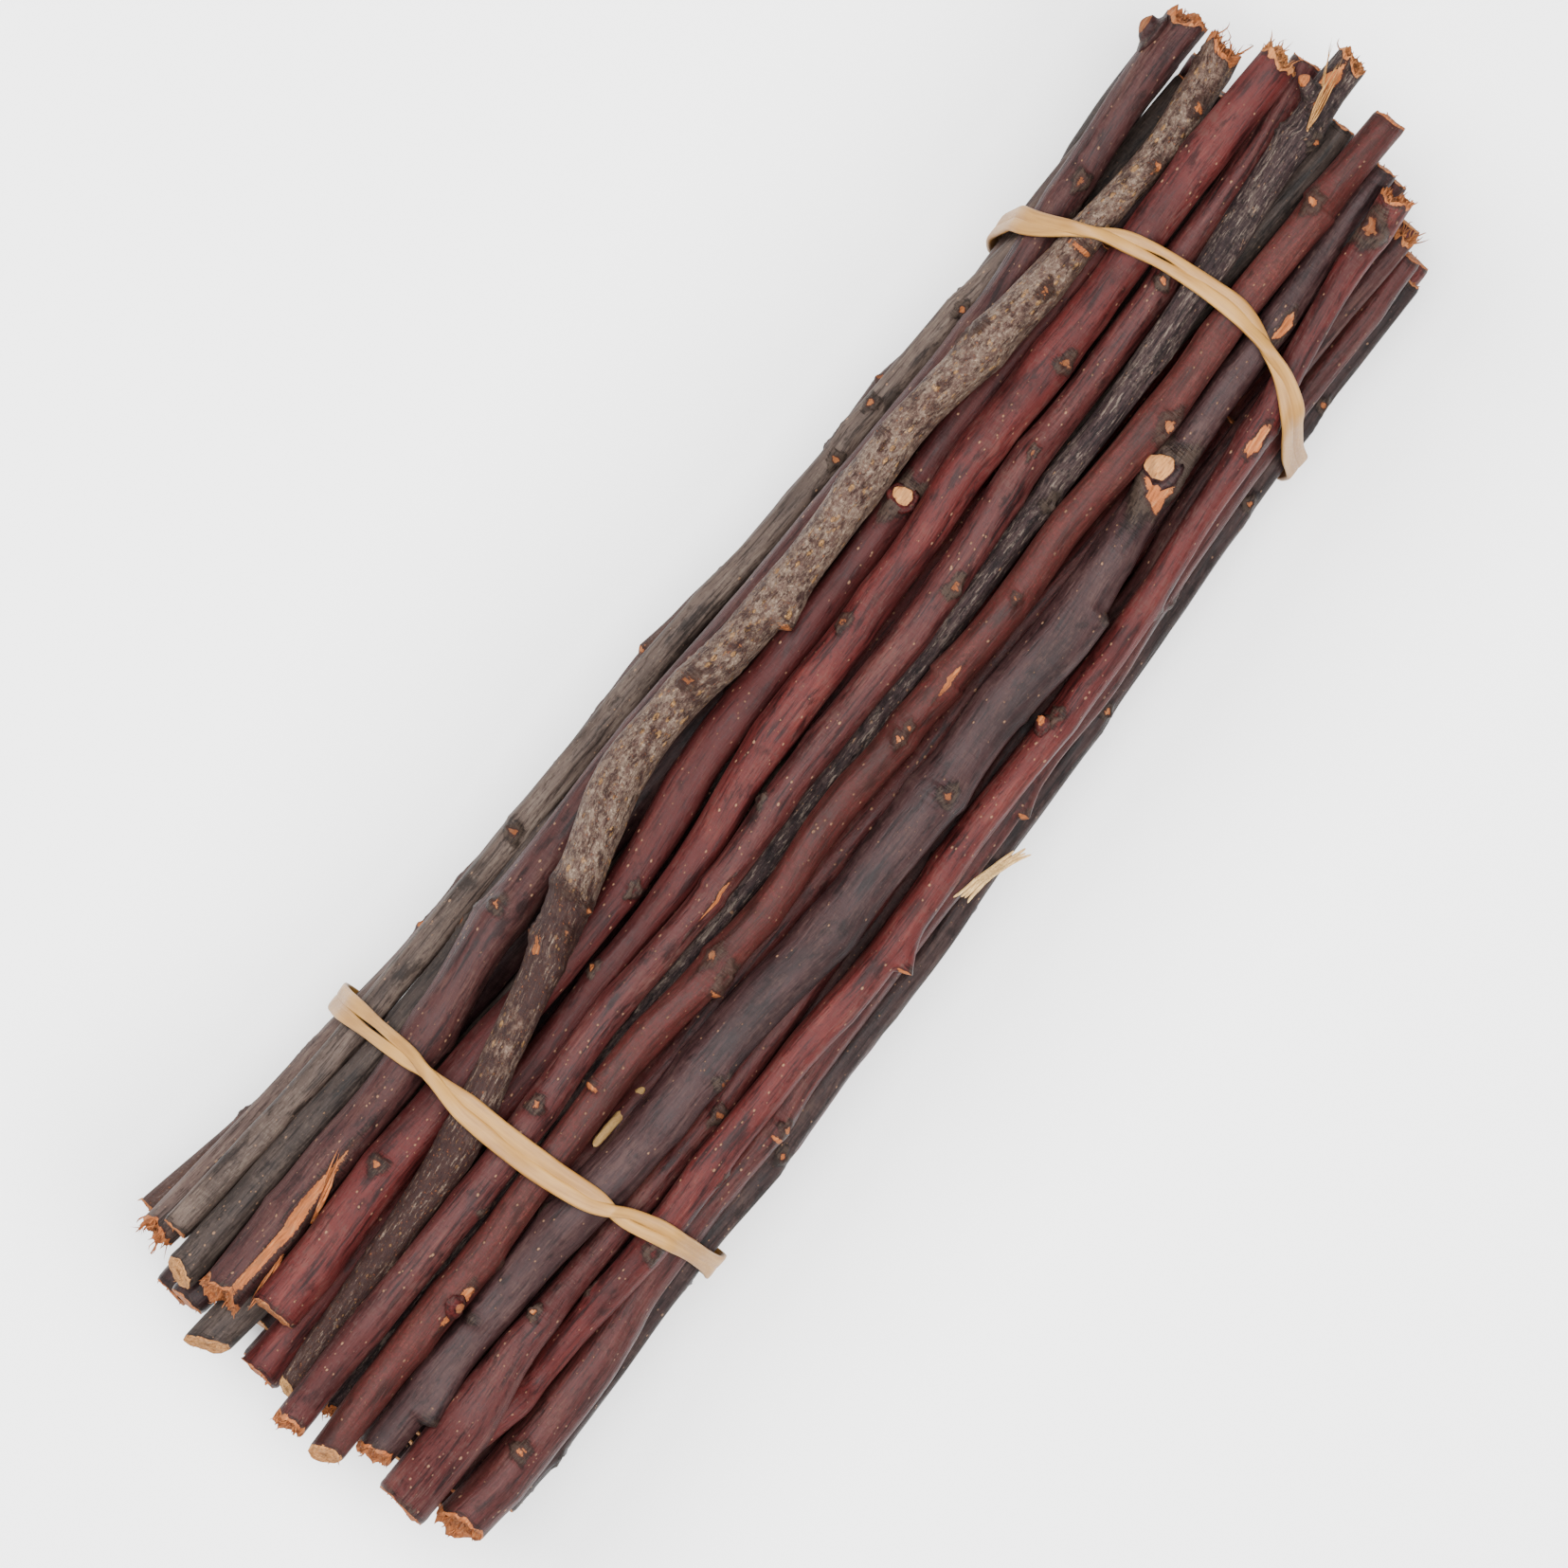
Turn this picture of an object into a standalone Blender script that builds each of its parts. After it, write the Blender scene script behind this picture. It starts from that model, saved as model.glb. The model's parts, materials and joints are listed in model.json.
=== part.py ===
"""A bundle of cut twigs held by two rubber bands, lying on its side.

The twigs run along X. The ones that show from above follow routes measured on the real
bundle, as centre lines and half thicknesses. The ones under them are laid in rows and then
pressed together, so that no two twigs touch and the bands close round all of them.
Lengths are in millimetres until a mesh is made, and the objects are in metres.
"""
import math
import random

import bmesh
import bpy
import numpy as np

MM = 0.001

# The bundle
STATIONS = np.array([-82.0, *range(-70, 81, 10), 92.0])
GAP = 0.36
MIDDLE_HEIGHT = 14.5
HALF_HEIGHT = 15.0
SQUARENESS = 2.25
LAYER = 4.2
TOP_SIDES = 8
INNER_SIDES = 5

# The bands
BAND_WIDTH = 3.4
BAND_THICKNESS = 0.9
BAND_GAP = 0.3
BAND_STEPS = 44
BAND_PROBES = 9
REST_HEIGHT = BAND_THICKNESS + BAND_GAP

# Where the bands run: along the bundle, on top and under it
LEFT_TOP, LEFT_BEND, LEFT_BEND_START = -46.0, 0.0083, -4.0
LEFT_UNDER, LEFT_SLANT = -44.7, 0.056
RIGHT_SIDE, RIGHT_BOW, RIGHT_REACH, RIGHT_ROUNDNESS = 60.2, 8.6, 18.5, 1.8

# The twigs that fill the bundle, each drawn by chance between two values
INNER_SEED = 11
INNER_WAVE = (60, 120)
INNER_SWING = (0.3, 1.0)
INNER_HEIGHT_SWING = 0.6
INNER_TAPER = 0.0012
INNER_RADIUS = (1.8, 2.4)
INNER_LEFT = (75, 82)
INNER_RIGHT = (83, 91)

# How the twigs are pressed together: rounds, then shares of a step taken in each round
ROUNDS = 700
LAST_ROUNDS = 900
TEST_STEP = 2.0
PAST_END = 4.0
BACK_SHARE = 3.0
MEASURED_PULL_ACROSS, MEASURED_PULL_HEIGHT = 0.3, 0.02
HIDDEN_PULL_ACROSS, HIDDEN_PULL_HEIGHT = 0.003, 0.002
SMOOTHING = 0.1
PUSH = 0.3
MEASURED_PUSH, LAST_MEASURED_PUSH = 0.045, 0.09

# The room for the hidden twigs inside the bundle's outline
SIDE_ROOM = 0.2
ROOF_DEPTH = 3.2
ROOF_LOWEST = 3.0
FLOOR_SQUARENESS = 3.2
FLOOR_SLACK = 1.0

# Ends and stubs
END_ROOM = 2
STUB_ROOT = 0.35
STUB_SIDES = 6
STUB_TURN = 0.25

# Where the bundle's two long edges run, seen from above: (along, across)
EDGE_PLUS = [(-82, 28.3), (-70, 27.0), (-60, 25.0), (-45, 23.2), (-20, 22.0), (0, 22.3),
             (20, 20.4), (40, 20.5), (55, 18.8), (70, 19.2), (92, 21.3)]
EDGE_MINUS = [(-82, -24.0), (-45, -23.5), (0, -23.2), (20, -21.9), (40, -20.6), (60, -19.2),
              (92, -18.4)]

# Colour, roughness of each bark
BARKS = {
    "bark_red": ((0.185, 0.045, 0.040), 0.50),
    "bark_red_brown": ((0.120, 0.040, 0.034), 0.52),
    "bark_dark": ((0.045, 0.026, 0.026), 0.60),
    "bark_purple": ((0.105, 0.066, 0.070), 0.55),
    "bark_brown": ((0.110, 0.058, 0.046), 0.60),
    "bark_grey": ((0.110, 0.090, 0.074), 0.65),
    "bark_rough": ((0.085, 0.075, 0.072), 0.75),
    "bark_lichen": ((0.250, 0.200, 0.140), 0.75),
}
RUBBER = ((0.68, 0.44, 0.19), 0.55)
PALE_WOOD = ((0.72, 0.55, 0.32), 0.70)

# Twigs that show. name: (bark, left end, right end, depth in layers under the bundle's top
# as (along, depth), route as (along, across, half thickness))
TOP_TWIGS = {
    "twig_lichen": (
        "bark_lichen", -81.0, 89.8,
        [(-82, 1.0), (-60, 0.6), (-35, 0), (-20, -0.35), (0, -0.4), (50, -0.3), (70, -0.1),
         (92, 0)],
        [(-82, 3.0, 1.4), (-70, 3.4, 1.75), (-60, 4.1, 1.8), (-50, 4.9, 2.15),
         (-40, 7.0, 2.05), (-30, 9.4, 2.15), (-20, 12.2, 2.6), (-10, 15.3, 2.75),
         (0, 15.5, 2.3), (10, 14.6, 2.35), (20, 13.9, 2.4), (30, 14.3, 2.3), (40, 14.4, 2.25),
         (50, 13.2, 2.5), (60, 12.5, 2.2), (70, 12.1, 1.8), (80, 11.9, 1.85),
         (92, 13.4, 2.1)]),
    "twig_split_end": (
        "bark_brown", -77.5, 90.0,
        [(-82, 0), (-30, 0.3), (0, 0.5), (60, 0.4), (92, 0)],
        [(-82, 14.6, 2.6), (-60, 14.3, 2.5), (-50, 14.4, 2.5), (-40, 14.9, 2.7),
         (-30, 16.0, 2.6), (-10, 16.3, 2.4), (0, 16.3, 2.3), (10, 15.8, 2.2), (30, 15.3, 2.1),
         (50, 15.2, 2.0), (60, 15.9, 1.9), (70, 16.9, 1.9), (80, 17.7, 2.0),
         (92, 17.8, 2.5)]),
    "twig_bright_red": (
        "bark_red", -75.5, 66.0,
        [(-82, 0), (-40, 0.1), (-30, 0.35), (50, 0.5), (92, 1.0)],
        [(-82, 8.8, 2.7), (-60, 9.3, 2.6), (-50, 9.1, 2.4), (-40, 8.9, 2.3), (-30, 8.2, 2.1),
         (-20, 8.0, 2.0), (-10, 8.8, 2.2), (0, 9.9, 2.3), (10, 9.9, 2.1), (30, 9.9, 2.0),
         (40, 10.3, 1.95), (60, 10.2, 1.8), (92, 9.5, 1.7)]),
    "twig_red_upper": (
        "bark_red", -81.7, 92.2,
        [(-82, 0.9), (-40, 0.7), (-20, 0.2), (0, 0), (92, -0.1)],
        [(-82, 6.4, 2.3), (-60, 5.2, 2.1), (-40, 3.8, 1.8), (-20, 3.9, 1.6), (-10, 4.2, 1.9),
         (0, 5.2, 2.1), (10, 5.7, 2.3), (20, 5.9, 2.1), (30, 6.2, 2.2), (40, 7.2, 2.4),
         (50, 6.8, 2.45), (60, 7.1, 2.3), (70, 7.5, 2.25), (92, 7.9, 2.2)]),
    "twig_red_centre": (
        "bark_red_brown", -83.5, 94.0,
        [(-82, 0), (92, 0.1)],
        [(-82, 0.6, 1.85), (-70, 0.85, 1.95), (-50, 0.3, 1.85), (-40, 0.75, 1.85),
         (-30, 1.05, 1.75), (-10, 0.4, 1.75), (0, 1.0, 1.85), (20, 0.85, 1.85),
         (30, 1.2, 1.9), (40, 2.2, 2.0), (50, 2.1, 1.8), (60, 2.6, 1.8), (70, 3.1, 1.75),
         (80, 3.6, 1.75), (92, 5.2, 1.8)]),
    "twig_rough_bark": (
        "bark_rough", -80.0, 96.8,
        [(-82, 1.0), (20, 0.75), (45, 0.3), (70, 0.05), (92, -0.1)],
        [(-82, -1.8, 1.4), (20, -1.9, 1.4), (40, -1.3, 1.5), (50, -1.1, 1.5),
         (60, -0.7, 1.65), (70, -0.1, 1.75), (80, 0.8, 1.8), (92, 1.9, 1.8)]),
    "twig_red_lower": (
        "bark_red", -83.7, 94.5,
        [(-82, 0)],
        [(-82, -4.4, 1.9), (-70, -4.0, 1.95), (-60, -4.3, 2.0), (-50, -3.9, 1.9),
         (-30, -3.6, 1.9), (-20, -4.5, 2.0), (-10, -5.1, 1.9), (0, -4.4, 1.9),
         (20, -5.0, 2.0), (30, -5.3, 2.0), (40, -4.8, 2.0), (50, -5.1, 2.1), (60, -5.3, 2.0),
         (70, -4.9, 1.9), (92, -5.1, 1.9)]),
    "twig_smooth_stout": (
        "bark_purple", -80.5, 90.3,
        [(-82, 0.1), (-60, -0.1), (40, -0.1), (60, 0), (92, 0.3)],
        [(-82, -8.2, 2.0), (-70, -8.4, 2.2), (-60, -8.5, 2.3), (-50, -9.1, 2.6),
         (-40, -9.9, 2.8), (-20, -10.6, 2.8), (-10, -11.4, 2.9), (10, -11.5, 2.9),
         (20, -11.1, 2.8), (30, -11.5, 3.0), (40, -10.6, 2.4), (50, -9.7, 2.0),
         (60, -9.2, 1.8), (70, -8.8, 1.75), (80, -8.2, 1.65), (92, -8.0, 1.5)]),
    "twig_forked_stem": (
        "bark_red_brown", -83.3, 60.0,
        [(-82, 0.1), (-50, 0.35), (-20, 0.9), (40, 1.2)],
        [(-82, -13.8, 3.1), (-70, -13.9, 2.9), (-60, -13.5, 1.9), (-50, -13.5, 1.65),
         (-40, -14.0, 1.65), (-30, -13.9, 1.65), (0, -13.0, 1.6), (92, -12.0, 1.6)]),
    "twig_side_branch": (
        "bark_red", -64.5, 88.5,
        [(-82, 0.4), (-60, 0.3), (-40, 0), (92, -0.1)],
        [(-82, -16.6, 1.5), (-60, -16.9, 1.6), (-50, -17.1, 1.75), (-40, -17.2, 1.85),
         (-20, -17.1, 1.9), (-10, -17.7, 2.0), (0, -17.6, 1.9), (10, -17.0, 1.85),
         (30, -16.9, 1.85), (40, -16.1, 1.65), (50, -15.2, 1.5), (60, -14.5, 1.65),
         (70, -12.9, 1.45), (80, -11.5, 1.55), (92, -10.6, 1.9)]),
    "twig_edge_red": (
        "bark_red_brown", -81.3, 85.2,
        [(-82, 0.2), (-50, 0.5), (92, 0.6)],
        [(-82, -20.0, 2.85), (-60, -20.2, 2.5), (-50, -19.5, 2.1), (-40, -19.5, 1.9),
         (-30, -19.8, 1.85), (-20, -19.2, 1.7), (0, -18.6, 1.55), (10, -18.8, 1.5),
         (30, -17.6, 1.5), (40, -17.0, 1.5), (60, -16.1, 1.5), (92, -15.7, 1.45)]),
    "twig_edge_dark": (
        "bark_dark", -77.0, 83.5,
        [(-82, 0.6), (92, 0.8)],
        [(-82, -22.0, 1.8), (-60, -21.8, 1.8), (-40, -21.4, 1.8), (-30, -21.6, 1.8),
         (-20, -21.2, 1.7), (0, -21.1, 1.7), (10, -20.4, 1.65), (20, -20.1, 1.6),
         (40, -18.9, 1.6), (50, -18.0, 1.5), (70, -17.5, 1.4), (92, -17.1, 1.3)]),
    "twig_edge_grey": (
        "bark_grey", -75.3, 62.0,
        [(-82, 0), (-30, 0.2), (60, 0.5), (92, 1.0)],
        [(-82, 23.0, 1.6), (-70, 22.2, 1.6), (-60, 21.5, 1.6), (-50, 20.8, 1.6),
         (-20, 20.3, 1.6), (0, 20.2, 1.6), (10, 19.7, 1.5), (20, 19.0, 1.4), (40, 18.6, 1.4),
         (50, 17.9, 1.4), (60, 16.9, 1.4), (92, 15.0, 1.4)]),
    "twig_edge_brown": (
        "bark_brown", -77.0, 86.0,
        [(-82, 0.3), (-50, 0.8), (0, 1.2)],
        [(-82, 24.4, 2.0), (-70, 23.5, 1.9), (-60, 22.6, 1.9), (-40, 21.0, 1.7),
         (0, 19.8, 1.6), (40, 18.0, 1.6), (60, 16.9, 1.6), (92, 17.5, 1.6)]),
    "twig_edge_dark_red": (
        "bark_red_brown", -76.0, 87.0,
        [(-82, 1.0), (-50, 1.5), (0, 1.7)],
        [(-82, 27.0, 1.5), (-70, 24.9, 1.6), (-60, 23.2, 1.6), (-40, 21.2, 1.7),
         (-20, 20.3, 1.6), (5, 20.6, 1.7), (20, 18.6, 1.6), (41, 18.8, 1.7), (55, 16.9, 1.6),
         (92, 17.8, 1.6)]),
    "twig_slate": (
        "bark_grey", -78.5, 85.0,
        [(-82, 0.1), (-50, 0.5), (0, 1.1), (92, 1.3)],
        [(-82, 19.6, 1.9), (-70, 19.0, 1.75), (-60, 18.3, 1.7), (-50, 17.6, 1.7),
         (0, 16.3, 1.7), (92, 13.5, 1.7)]),
    "twig_purple_end": (
        "bark_purple", -80.7, 86.0,
        [(-82, 1.1), (92, 1.3)],
        [(-82, 17.0, 2.3), (-60, 15.0, 2.2), (-20, 13.2, 2.2), (20, 12.0, 2.1),
         (92, 9.8, 2.0)]),
    "twig_grey_slant": (
        "bark_grey", -82.8, 80.0,
        [(-82, 1.0), (92, 1.3)],
        [(-82, 12.6, 2.4), (-60, 10.8, 2.1), (-20, 8.5, 2.1), (20, 7.4, 2.1), (92, 6.0, 1.9)]),
    "twig_grey_green": (
        "bark_grey", -80.0, 91.0,
        [(-82, 1.1), (60, 0.9), (92, 0.5)],
        [(-82, 2.2, 2.0), (0, 1.4, 2.0), (60, -1.0, 1.7), (92, -1.9, 1.5)]),
    "twig_red_end": (
        "bark_red_brown", -80.0, 90.2,
        [(-82, 1.0), (60, 0.9), (92, 0.6)],
        [(-82, -6.3, 1.9), (-40, -6.6, 2.0), (0, -7.7, 1.9), (60, -8.6, 1.6),
         (92, -9.9, 1.3)]),
    "twig_torn_tip": (
        "bark_brown", -79.0, 86.2,
        [(-82, 1.1), (60, 0.9), (92, 0.6)],
        [(-82, -16.9, 1.6), (0, -15.3, 1.6), (60, -13.4, 1.4), (80, -13.7, 1.3),
         (92, -14.0, 1.2)]),
}

# Rows of twigs under those: height, places across
INNER_ROWS = [
    (17.2, (-12.0, -7.0, -2.2, 3.0, 8.0)),
    (12.9, (-18.8, -14.0, -9.0, -4.2, 0.6, 5.6, 10.8, 15.8)),
    (8.4, (-18.0, -13.4, -8.6, -3.8, 1.2, 6.2, 11.2, 16.2)),
    (3.6, (-13.6, -9.0, -4.4, 0.4, 5.2, 10.0, 14.6)),
]
INNER_BARKS = ("bark_red", "bark_purple", "bark_red_brown", "bark_brown", "bark_grey")
ROW_SPREAD = [(-82, 1.16), (-46, 1.06), (0, 1.0), (40, 0.92), (65, 0.86), (92, 0.92)]

# Side shoots that were cut or snapped off.
# (twig, along, degrees from straight up towards +Y, reach past the bark, base and tip radius)
STUBS = [
    ("twig_smooth_stout", 50.8, 20, 0.5, 1.0, 0.95),
    ("twig_smooth_stout", -73.3, -52, 1.9, 0.85, 0.35),
    ("twig_smooth_stout", 33.0, -70, 0.5, 1.5, 0.9),
    ("twig_red_lower", -34.4, 50, 0.6, 0.75, 0.35),
    ("twig_red_lower", -63.0, -40, 0.6, 0.9, 0.6),
    ("twig_side_branch", -5.0, -75, 2.7, 0.95, 0.5),
    ("twig_side_branch", 22.5, 40, 0.7, 0.8, 0.5),
    ("twig_edge_red", 15.3, -65, 0.9, 0.8, 0.5),
    ("twig_rough_bark", 91.4, 60, 1.3, 1.0, 0.85),
    ("twig_split_end", 86.0, 85, 1.5, 0.95, 0.75),
    ("twig_lichen", 15.5, -70, 0.9, 0.75, 0.5),
    ("twig_bright_red", 32.0, 12, 0.4, 0.95, 0.9),
]

# Loose strips of pale wood. name: (width, thickness, route as (along, across))
SLIVERS = {
    "wood_sliver_edge": (1.2, 0.4, [(2.5, -20.5), (5.5, -20.9), (8.5, -21.8), (11.5, -22.9)]),
    "wood_sliver_middle": (0.8, 0.4, [(-42.3, -6.4), (-38.5, -6.4), (-35.0, -6.5),
                                      (-32.0, -6.7)]),
}


def along(pairs, places):
    """Read a list of (along, value) at the given places, in straight lines between points."""
    table = np.array(pairs, float)
    return np.interp(places, table[:, 0], table[:, 1])


def top_edge(across, radius):
    """Centre height of a disc that touches the bundle's rounded top from inside."""
    plus, minus = along(EDGE_PLUS, STATIONS), along(EDGE_MINUS, STATIONS)
    reach = (plus - minus) / 2 - radius
    share = np.clip(np.abs(across - (plus + minus) / 2) / reach, 0, 1)
    return MIDDLE_HEIGHT + (HALF_HEIGHT - radius) * (1 - share ** SQUARENESS) ** (1 / SQUARENESS)


def first_places():
    """Every twig's name, bark and ends, with its across, height and radius at each station."""
    twigs, rows = [], []
    for name, (bark, left, right, depth, route) in TOP_TWIGS.items():
        table = np.array(route, float)
        across = np.interp(STATIONS, table[:, 0], table[:, 1])
        radius = np.interp(STATIONS, table[:, 0], table[:, 2])
        height = top_edge(across, radius) - LAYER * along(depth, STATIONS)
        twigs.append((name, bark, left, right, TOP_SIDES))
        rows.append((across, height, radius))
    chance = random.Random(INNER_SEED)
    turns = STATIONS * 2 * math.pi
    for row_height, places in INNER_ROWS:
        for place in places:
            bark = INNER_BARKS[chance.randrange(len(INNER_BARKS))]
            wave, phase = chance.uniform(*INNER_WAVE), chance.uniform(0, 2 * math.pi)
            swing = chance.uniform(*INNER_SWING)
            taper = 1 + INNER_TAPER * chance.choice((-1, 1)) * STATIONS
            radius = chance.uniform(*INNER_RADIUS) * taper
            across = place * along(ROW_SPREAD, STATIONS) + swing * np.sin(turns / wave + phase)
            ripple = INNER_HEIGHT_SWING * swing * np.cos(turns / wave + 2 * phase)
            height = row_height + ripple
            name = f"twig_inner_{len(twigs) - len(TOP_TWIGS) + 1:02d}"
            left, right = -chance.uniform(*INNER_LEFT), chance.uniform(*INNER_RIGHT)
            twigs.append((name, bark, left, right, INNER_SIDES))
            rows.append((across, height, radius))
    return twigs, *(np.array(column) for column in zip(*rows))


def press_together(twigs, across, height, radius):
    """Move the twigs until none is nearer to another than GAP, anywhere along the bundle.

    The measured twigs keep their place across and give way up or down. The others give way
    both ways, stay inside the bundle's outline and are straight between every second station.
    """
    measured = np.arange(len(twigs))[:, None] < len(TOP_TWIGS)
    hidden = ~measured[:, 0]
    aim_across, aim_height = across.copy(), height.copy()
    plus, minus = along(EDGE_PLUS, STATIONS), along(EDGE_MINUS, STATIONS)
    hidden_radius = radius[hidden]
    centre, half = (plus + minus) / 2, (plus - minus) / 2 - hidden_radius - SIDE_ROOM
    lowest = REST_HEIGHT + hidden_radius
    corners = STATIONS[[0, *range(2, len(STATIONS) - 1, 2), -1]]
    hats = np.array([np.interp(STATIONS, corners, row) for row in np.eye(len(corners))]).T
    straighten = (hats @ np.linalg.pinv(hats)).T

    # Every pair is tested at close places between the stations as well
    places = np.arange(STATIONS[0], STATIONS[-1] + TEST_STEP / 2, TEST_STEP)
    blend = np.array([np.interp(places, STATIONS, row) for row in np.eye(len(STATIONS))])
    share_back = (blend / blend.sum(axis=1, keepdims=True)).T * BACK_SHARE
    one, two = np.triu_indices(len(twigs), 1)
    pairs = np.zeros((len(twigs), len(one)))
    pairs[two, np.arange(len(one))] = 1
    pairs[one, np.arange(len(one))] = -1
    there = np.array([(places > twig[2] - PAST_END) & (places < twig[3] + PAST_END)
                      for twig in twigs])
    close_radius = radius @ blend
    reach = np.where(there[one] & there[two], close_radius[one] + close_radius[two] + GAP, 0)

    def push_apart(share):
        nonlocal across, height
        close_across, close_height = across @ blend, height @ blend
        step_across = close_across[two] - close_across[one]
        step_height = close_height[two] - close_height[one]
        distance = np.hypot(step_across, step_height) + 1e-9
        push = np.maximum(reach - distance, 0) / distance
        across = across + share * (pairs @ (push * step_across)) @ share_back
        height = height + PUSH * (pairs @ (push * step_height)) @ share_back
        height = np.maximum(height, REST_HEIGHT + radius)

    def keep_inside():
        across[hidden] = np.clip(across[hidden], centre - half, centre + half)
        roof = np.maximum(top_edge(across[hidden], hidden_radius) - ROOF_DEPTH,
                          MIDDLE_HEIGHT - ROOF_LOWEST)
        share = np.clip(np.abs(across[hidden] - centre) / half, 0, 1) ** FLOOR_SQUARENESS
        depth = (MIDDLE_HEIGHT - lowest) * (1 - share) ** (1 / FLOOR_SQUARENESS)
        floor = np.maximum(lowest, MIDDLE_HEIGHT - depth - FLOOR_SLACK)
        height[hidden] = np.maximum(np.minimum(height[hidden], roof), floor)

    pull_across = np.where(measured, MEASURED_PULL_ACROSS, HIDDEN_PULL_ACROSS)
    pull_height = np.where(measured, MEASURED_PULL_HEIGHT, HIDDEN_PULL_HEIGHT)
    for _ in range(ROUNDS):
        across += pull_across * (aim_across - across)
        height += pull_height * (aim_height - height)
        between = (height[:, :-2] + height[:, 2:]) / 2
        height[:, 1:-1] += SMOOTHING * (between - height[:, 1:-1])
        push_apart(np.where(measured, MEASURED_PUSH, PUSH))
        keep_inside()
        across[hidden] = across[hidden] @ straighten
        height[hidden] = height[hidden] @ straighten
    for _ in range(LAST_ROUNDS):
        push_apart(np.where(measured, LAST_MEASURED_PUSH, PUSH))
        across[hidden] = across[hidden] @ straighten
        height[hidden] = height[hidden] @ straighten
    return across, height


def section(place, across, height, radius):
    """Every twig's disc at one place along the bundle."""
    return [np.array([np.interp(place, STATIONS, row) for row in rows])
            for rows in (across, height, radius)]


def make_material(name, colour, roughness):
    material = bpy.data.materials.new(name)
    material.use_nodes = True
    shader = material.node_tree.nodes["Principled BSDF"]
    shader.inputs["Base Color"].default_value = (*colour, 1)
    shader.inputs["Roughness"].default_value = roughness
    return material


def make_object(name, mesh_builder, material):
    mesh = bpy.data.meshes.new(name)
    bmesh.ops.recalc_face_normals(mesh_builder, faces=mesh_builder.faces)
    mesh_builder.to_mesh(mesh)
    mesh_builder.free()
    mesh.materials.append(material)
    thing = bpy.data.objects.new(name, mesh)
    bpy.context.collection.objects.link(thing)
    return thing


def loft(rings, closed=False):
    """A solid through rings of points, in millimetres, with flat ends or closed on itself."""
    builder = bmesh.new()
    loops = [[builder.verts.new([value * MM for value in point]) for point in ring]
             for ring in rings]
    following = loops[1:] + ([loops[0]] if closed else [])
    for loop, after in zip(loops, following):
        for side in range(len(loop)):
            turn = (side + 1) % len(loop)
            builder.faces.new((loop[side], loop[turn], after[turn], after[side]))
    if not closed:
        builder.faces.new(loops[0])
        builder.faces.new(loops[-1])
    return builder


def make_twig(twig, route, material):
    """A tapering solid whose rings each lie across X."""
    name, _, left, right, sides = twig
    across, height, radius = route
    inside = [place for place in STATIONS if left + END_ROOM < place < right - END_ROOM]
    if sides == INNER_SIDES:
        inside = inside[1::2]
    angles = (np.arange(sides) + 0.5) * 2 * math.pi / sides
    rings = []
    for place in [left, *inside, right]:
        y, z, r = (np.interp(place, STATIONS, row) for row in (across, height, radius))
        rings.append([(place, y + r * math.sin(a), z + r * math.cos(a)) for a in angles])
    return make_object(name, loft(rings), material)


def add_stub(twig_object, place, lean, reach, base_radius, tip_radius, route):
    """Join the remains of a side shoot to a twig."""
    y, z, r = (np.interp(place, STATIONS, row) for row in route)
    lean = math.radians(lean)
    up = np.array([0, math.sin(lean), math.cos(lean)])
    side = np.array([0, math.cos(lean), -math.sin(lean)])
    forward = np.array([1.0, 0, 0])
    rings = []
    for distance, size in ((STUB_ROOT * r, base_radius), (r, base_radius),
                           (r + reach, tip_radius)):
        centre = np.array([place, y, z]) + distance * up
        angles = (np.arange(STUB_SIDES) + STUB_TURN) * 2 * math.pi / STUB_SIDES
        rings.append([centre + size * (math.cos(a) * forward + math.sin(a) * side)
                      for a in angles])
    stub = make_object(f"cutter_{twig_object.name}_{place:g}", loft(rings),
                       twig_object.data.materials[0])
    stub.hide_render = True
    stub.display_type = "WIRE"
    joining = twig_object.modifiers.new(f"stub_{place:g}", "BOOLEAN")
    joining.operation = "UNION"
    joining.object = stub


def furthest_twig(angle, middle, routes):
    """The twig that reaches furthest in a direction near one place: its centre and radius."""
    out = np.array([math.cos(angle), math.sin(angle)])
    best = None
    for place in np.linspace(middle - BAND_WIDTH, middle + BAND_WIDTH, BAND_PROBES):
        y, z, r = section(place, *routes)
        reach = y * out[0] + z * out[1] + r
        twig = int(np.argmax(reach))
        if best is None or reach[twig] > best[0]:
            best = (reach[twig], np.array([y[twig], z[twig]]), r[twig])
    return best[1], best[2]


def make_band(name, place_at, routes, material):
    """A flat ribbon stretched round all the twigs, level where the bundle rests on it.

    place_at gives the band's place along the bundle from how far across it is, on top or not.
    """
    step = 2 * math.pi / BAND_STEPS
    angles = [-math.pi / 2 + step * number for number in range(1, BAND_STEPS)]
    path = []
    for angle in angles:
        out = np.array([math.cos(angle), math.sin(angle)])
        near, _ = furthest_twig(angle, place_at(0.0, False), routes)
        place = place_at(near[0], math.sin(angle) > 0)
        centre, r = furthest_twig(angle, place, routes)
        inner = centre + (r + BAND_GAP) * out
        path.append((place, inner, inner + BAND_THICKNESS * out))
        if angle in (angles[0], angles[-1]):
            level = (place, np.array([centre[0], BAND_THICKNESS]), np.array([centre[0], 0.0]))
            path.insert(len(path) - 1 if angle == angles[0] else len(path), level)
    rings = []
    for middle, inner, outer in path:
        before, after = middle - BAND_WIDTH / 2, middle + BAND_WIDTH / 2
        rings.append([(before, *inner), (after, *inner), (after, *outer), (before, *outer)])
    return make_object(name, loft(rings, closed=True), material)


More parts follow.
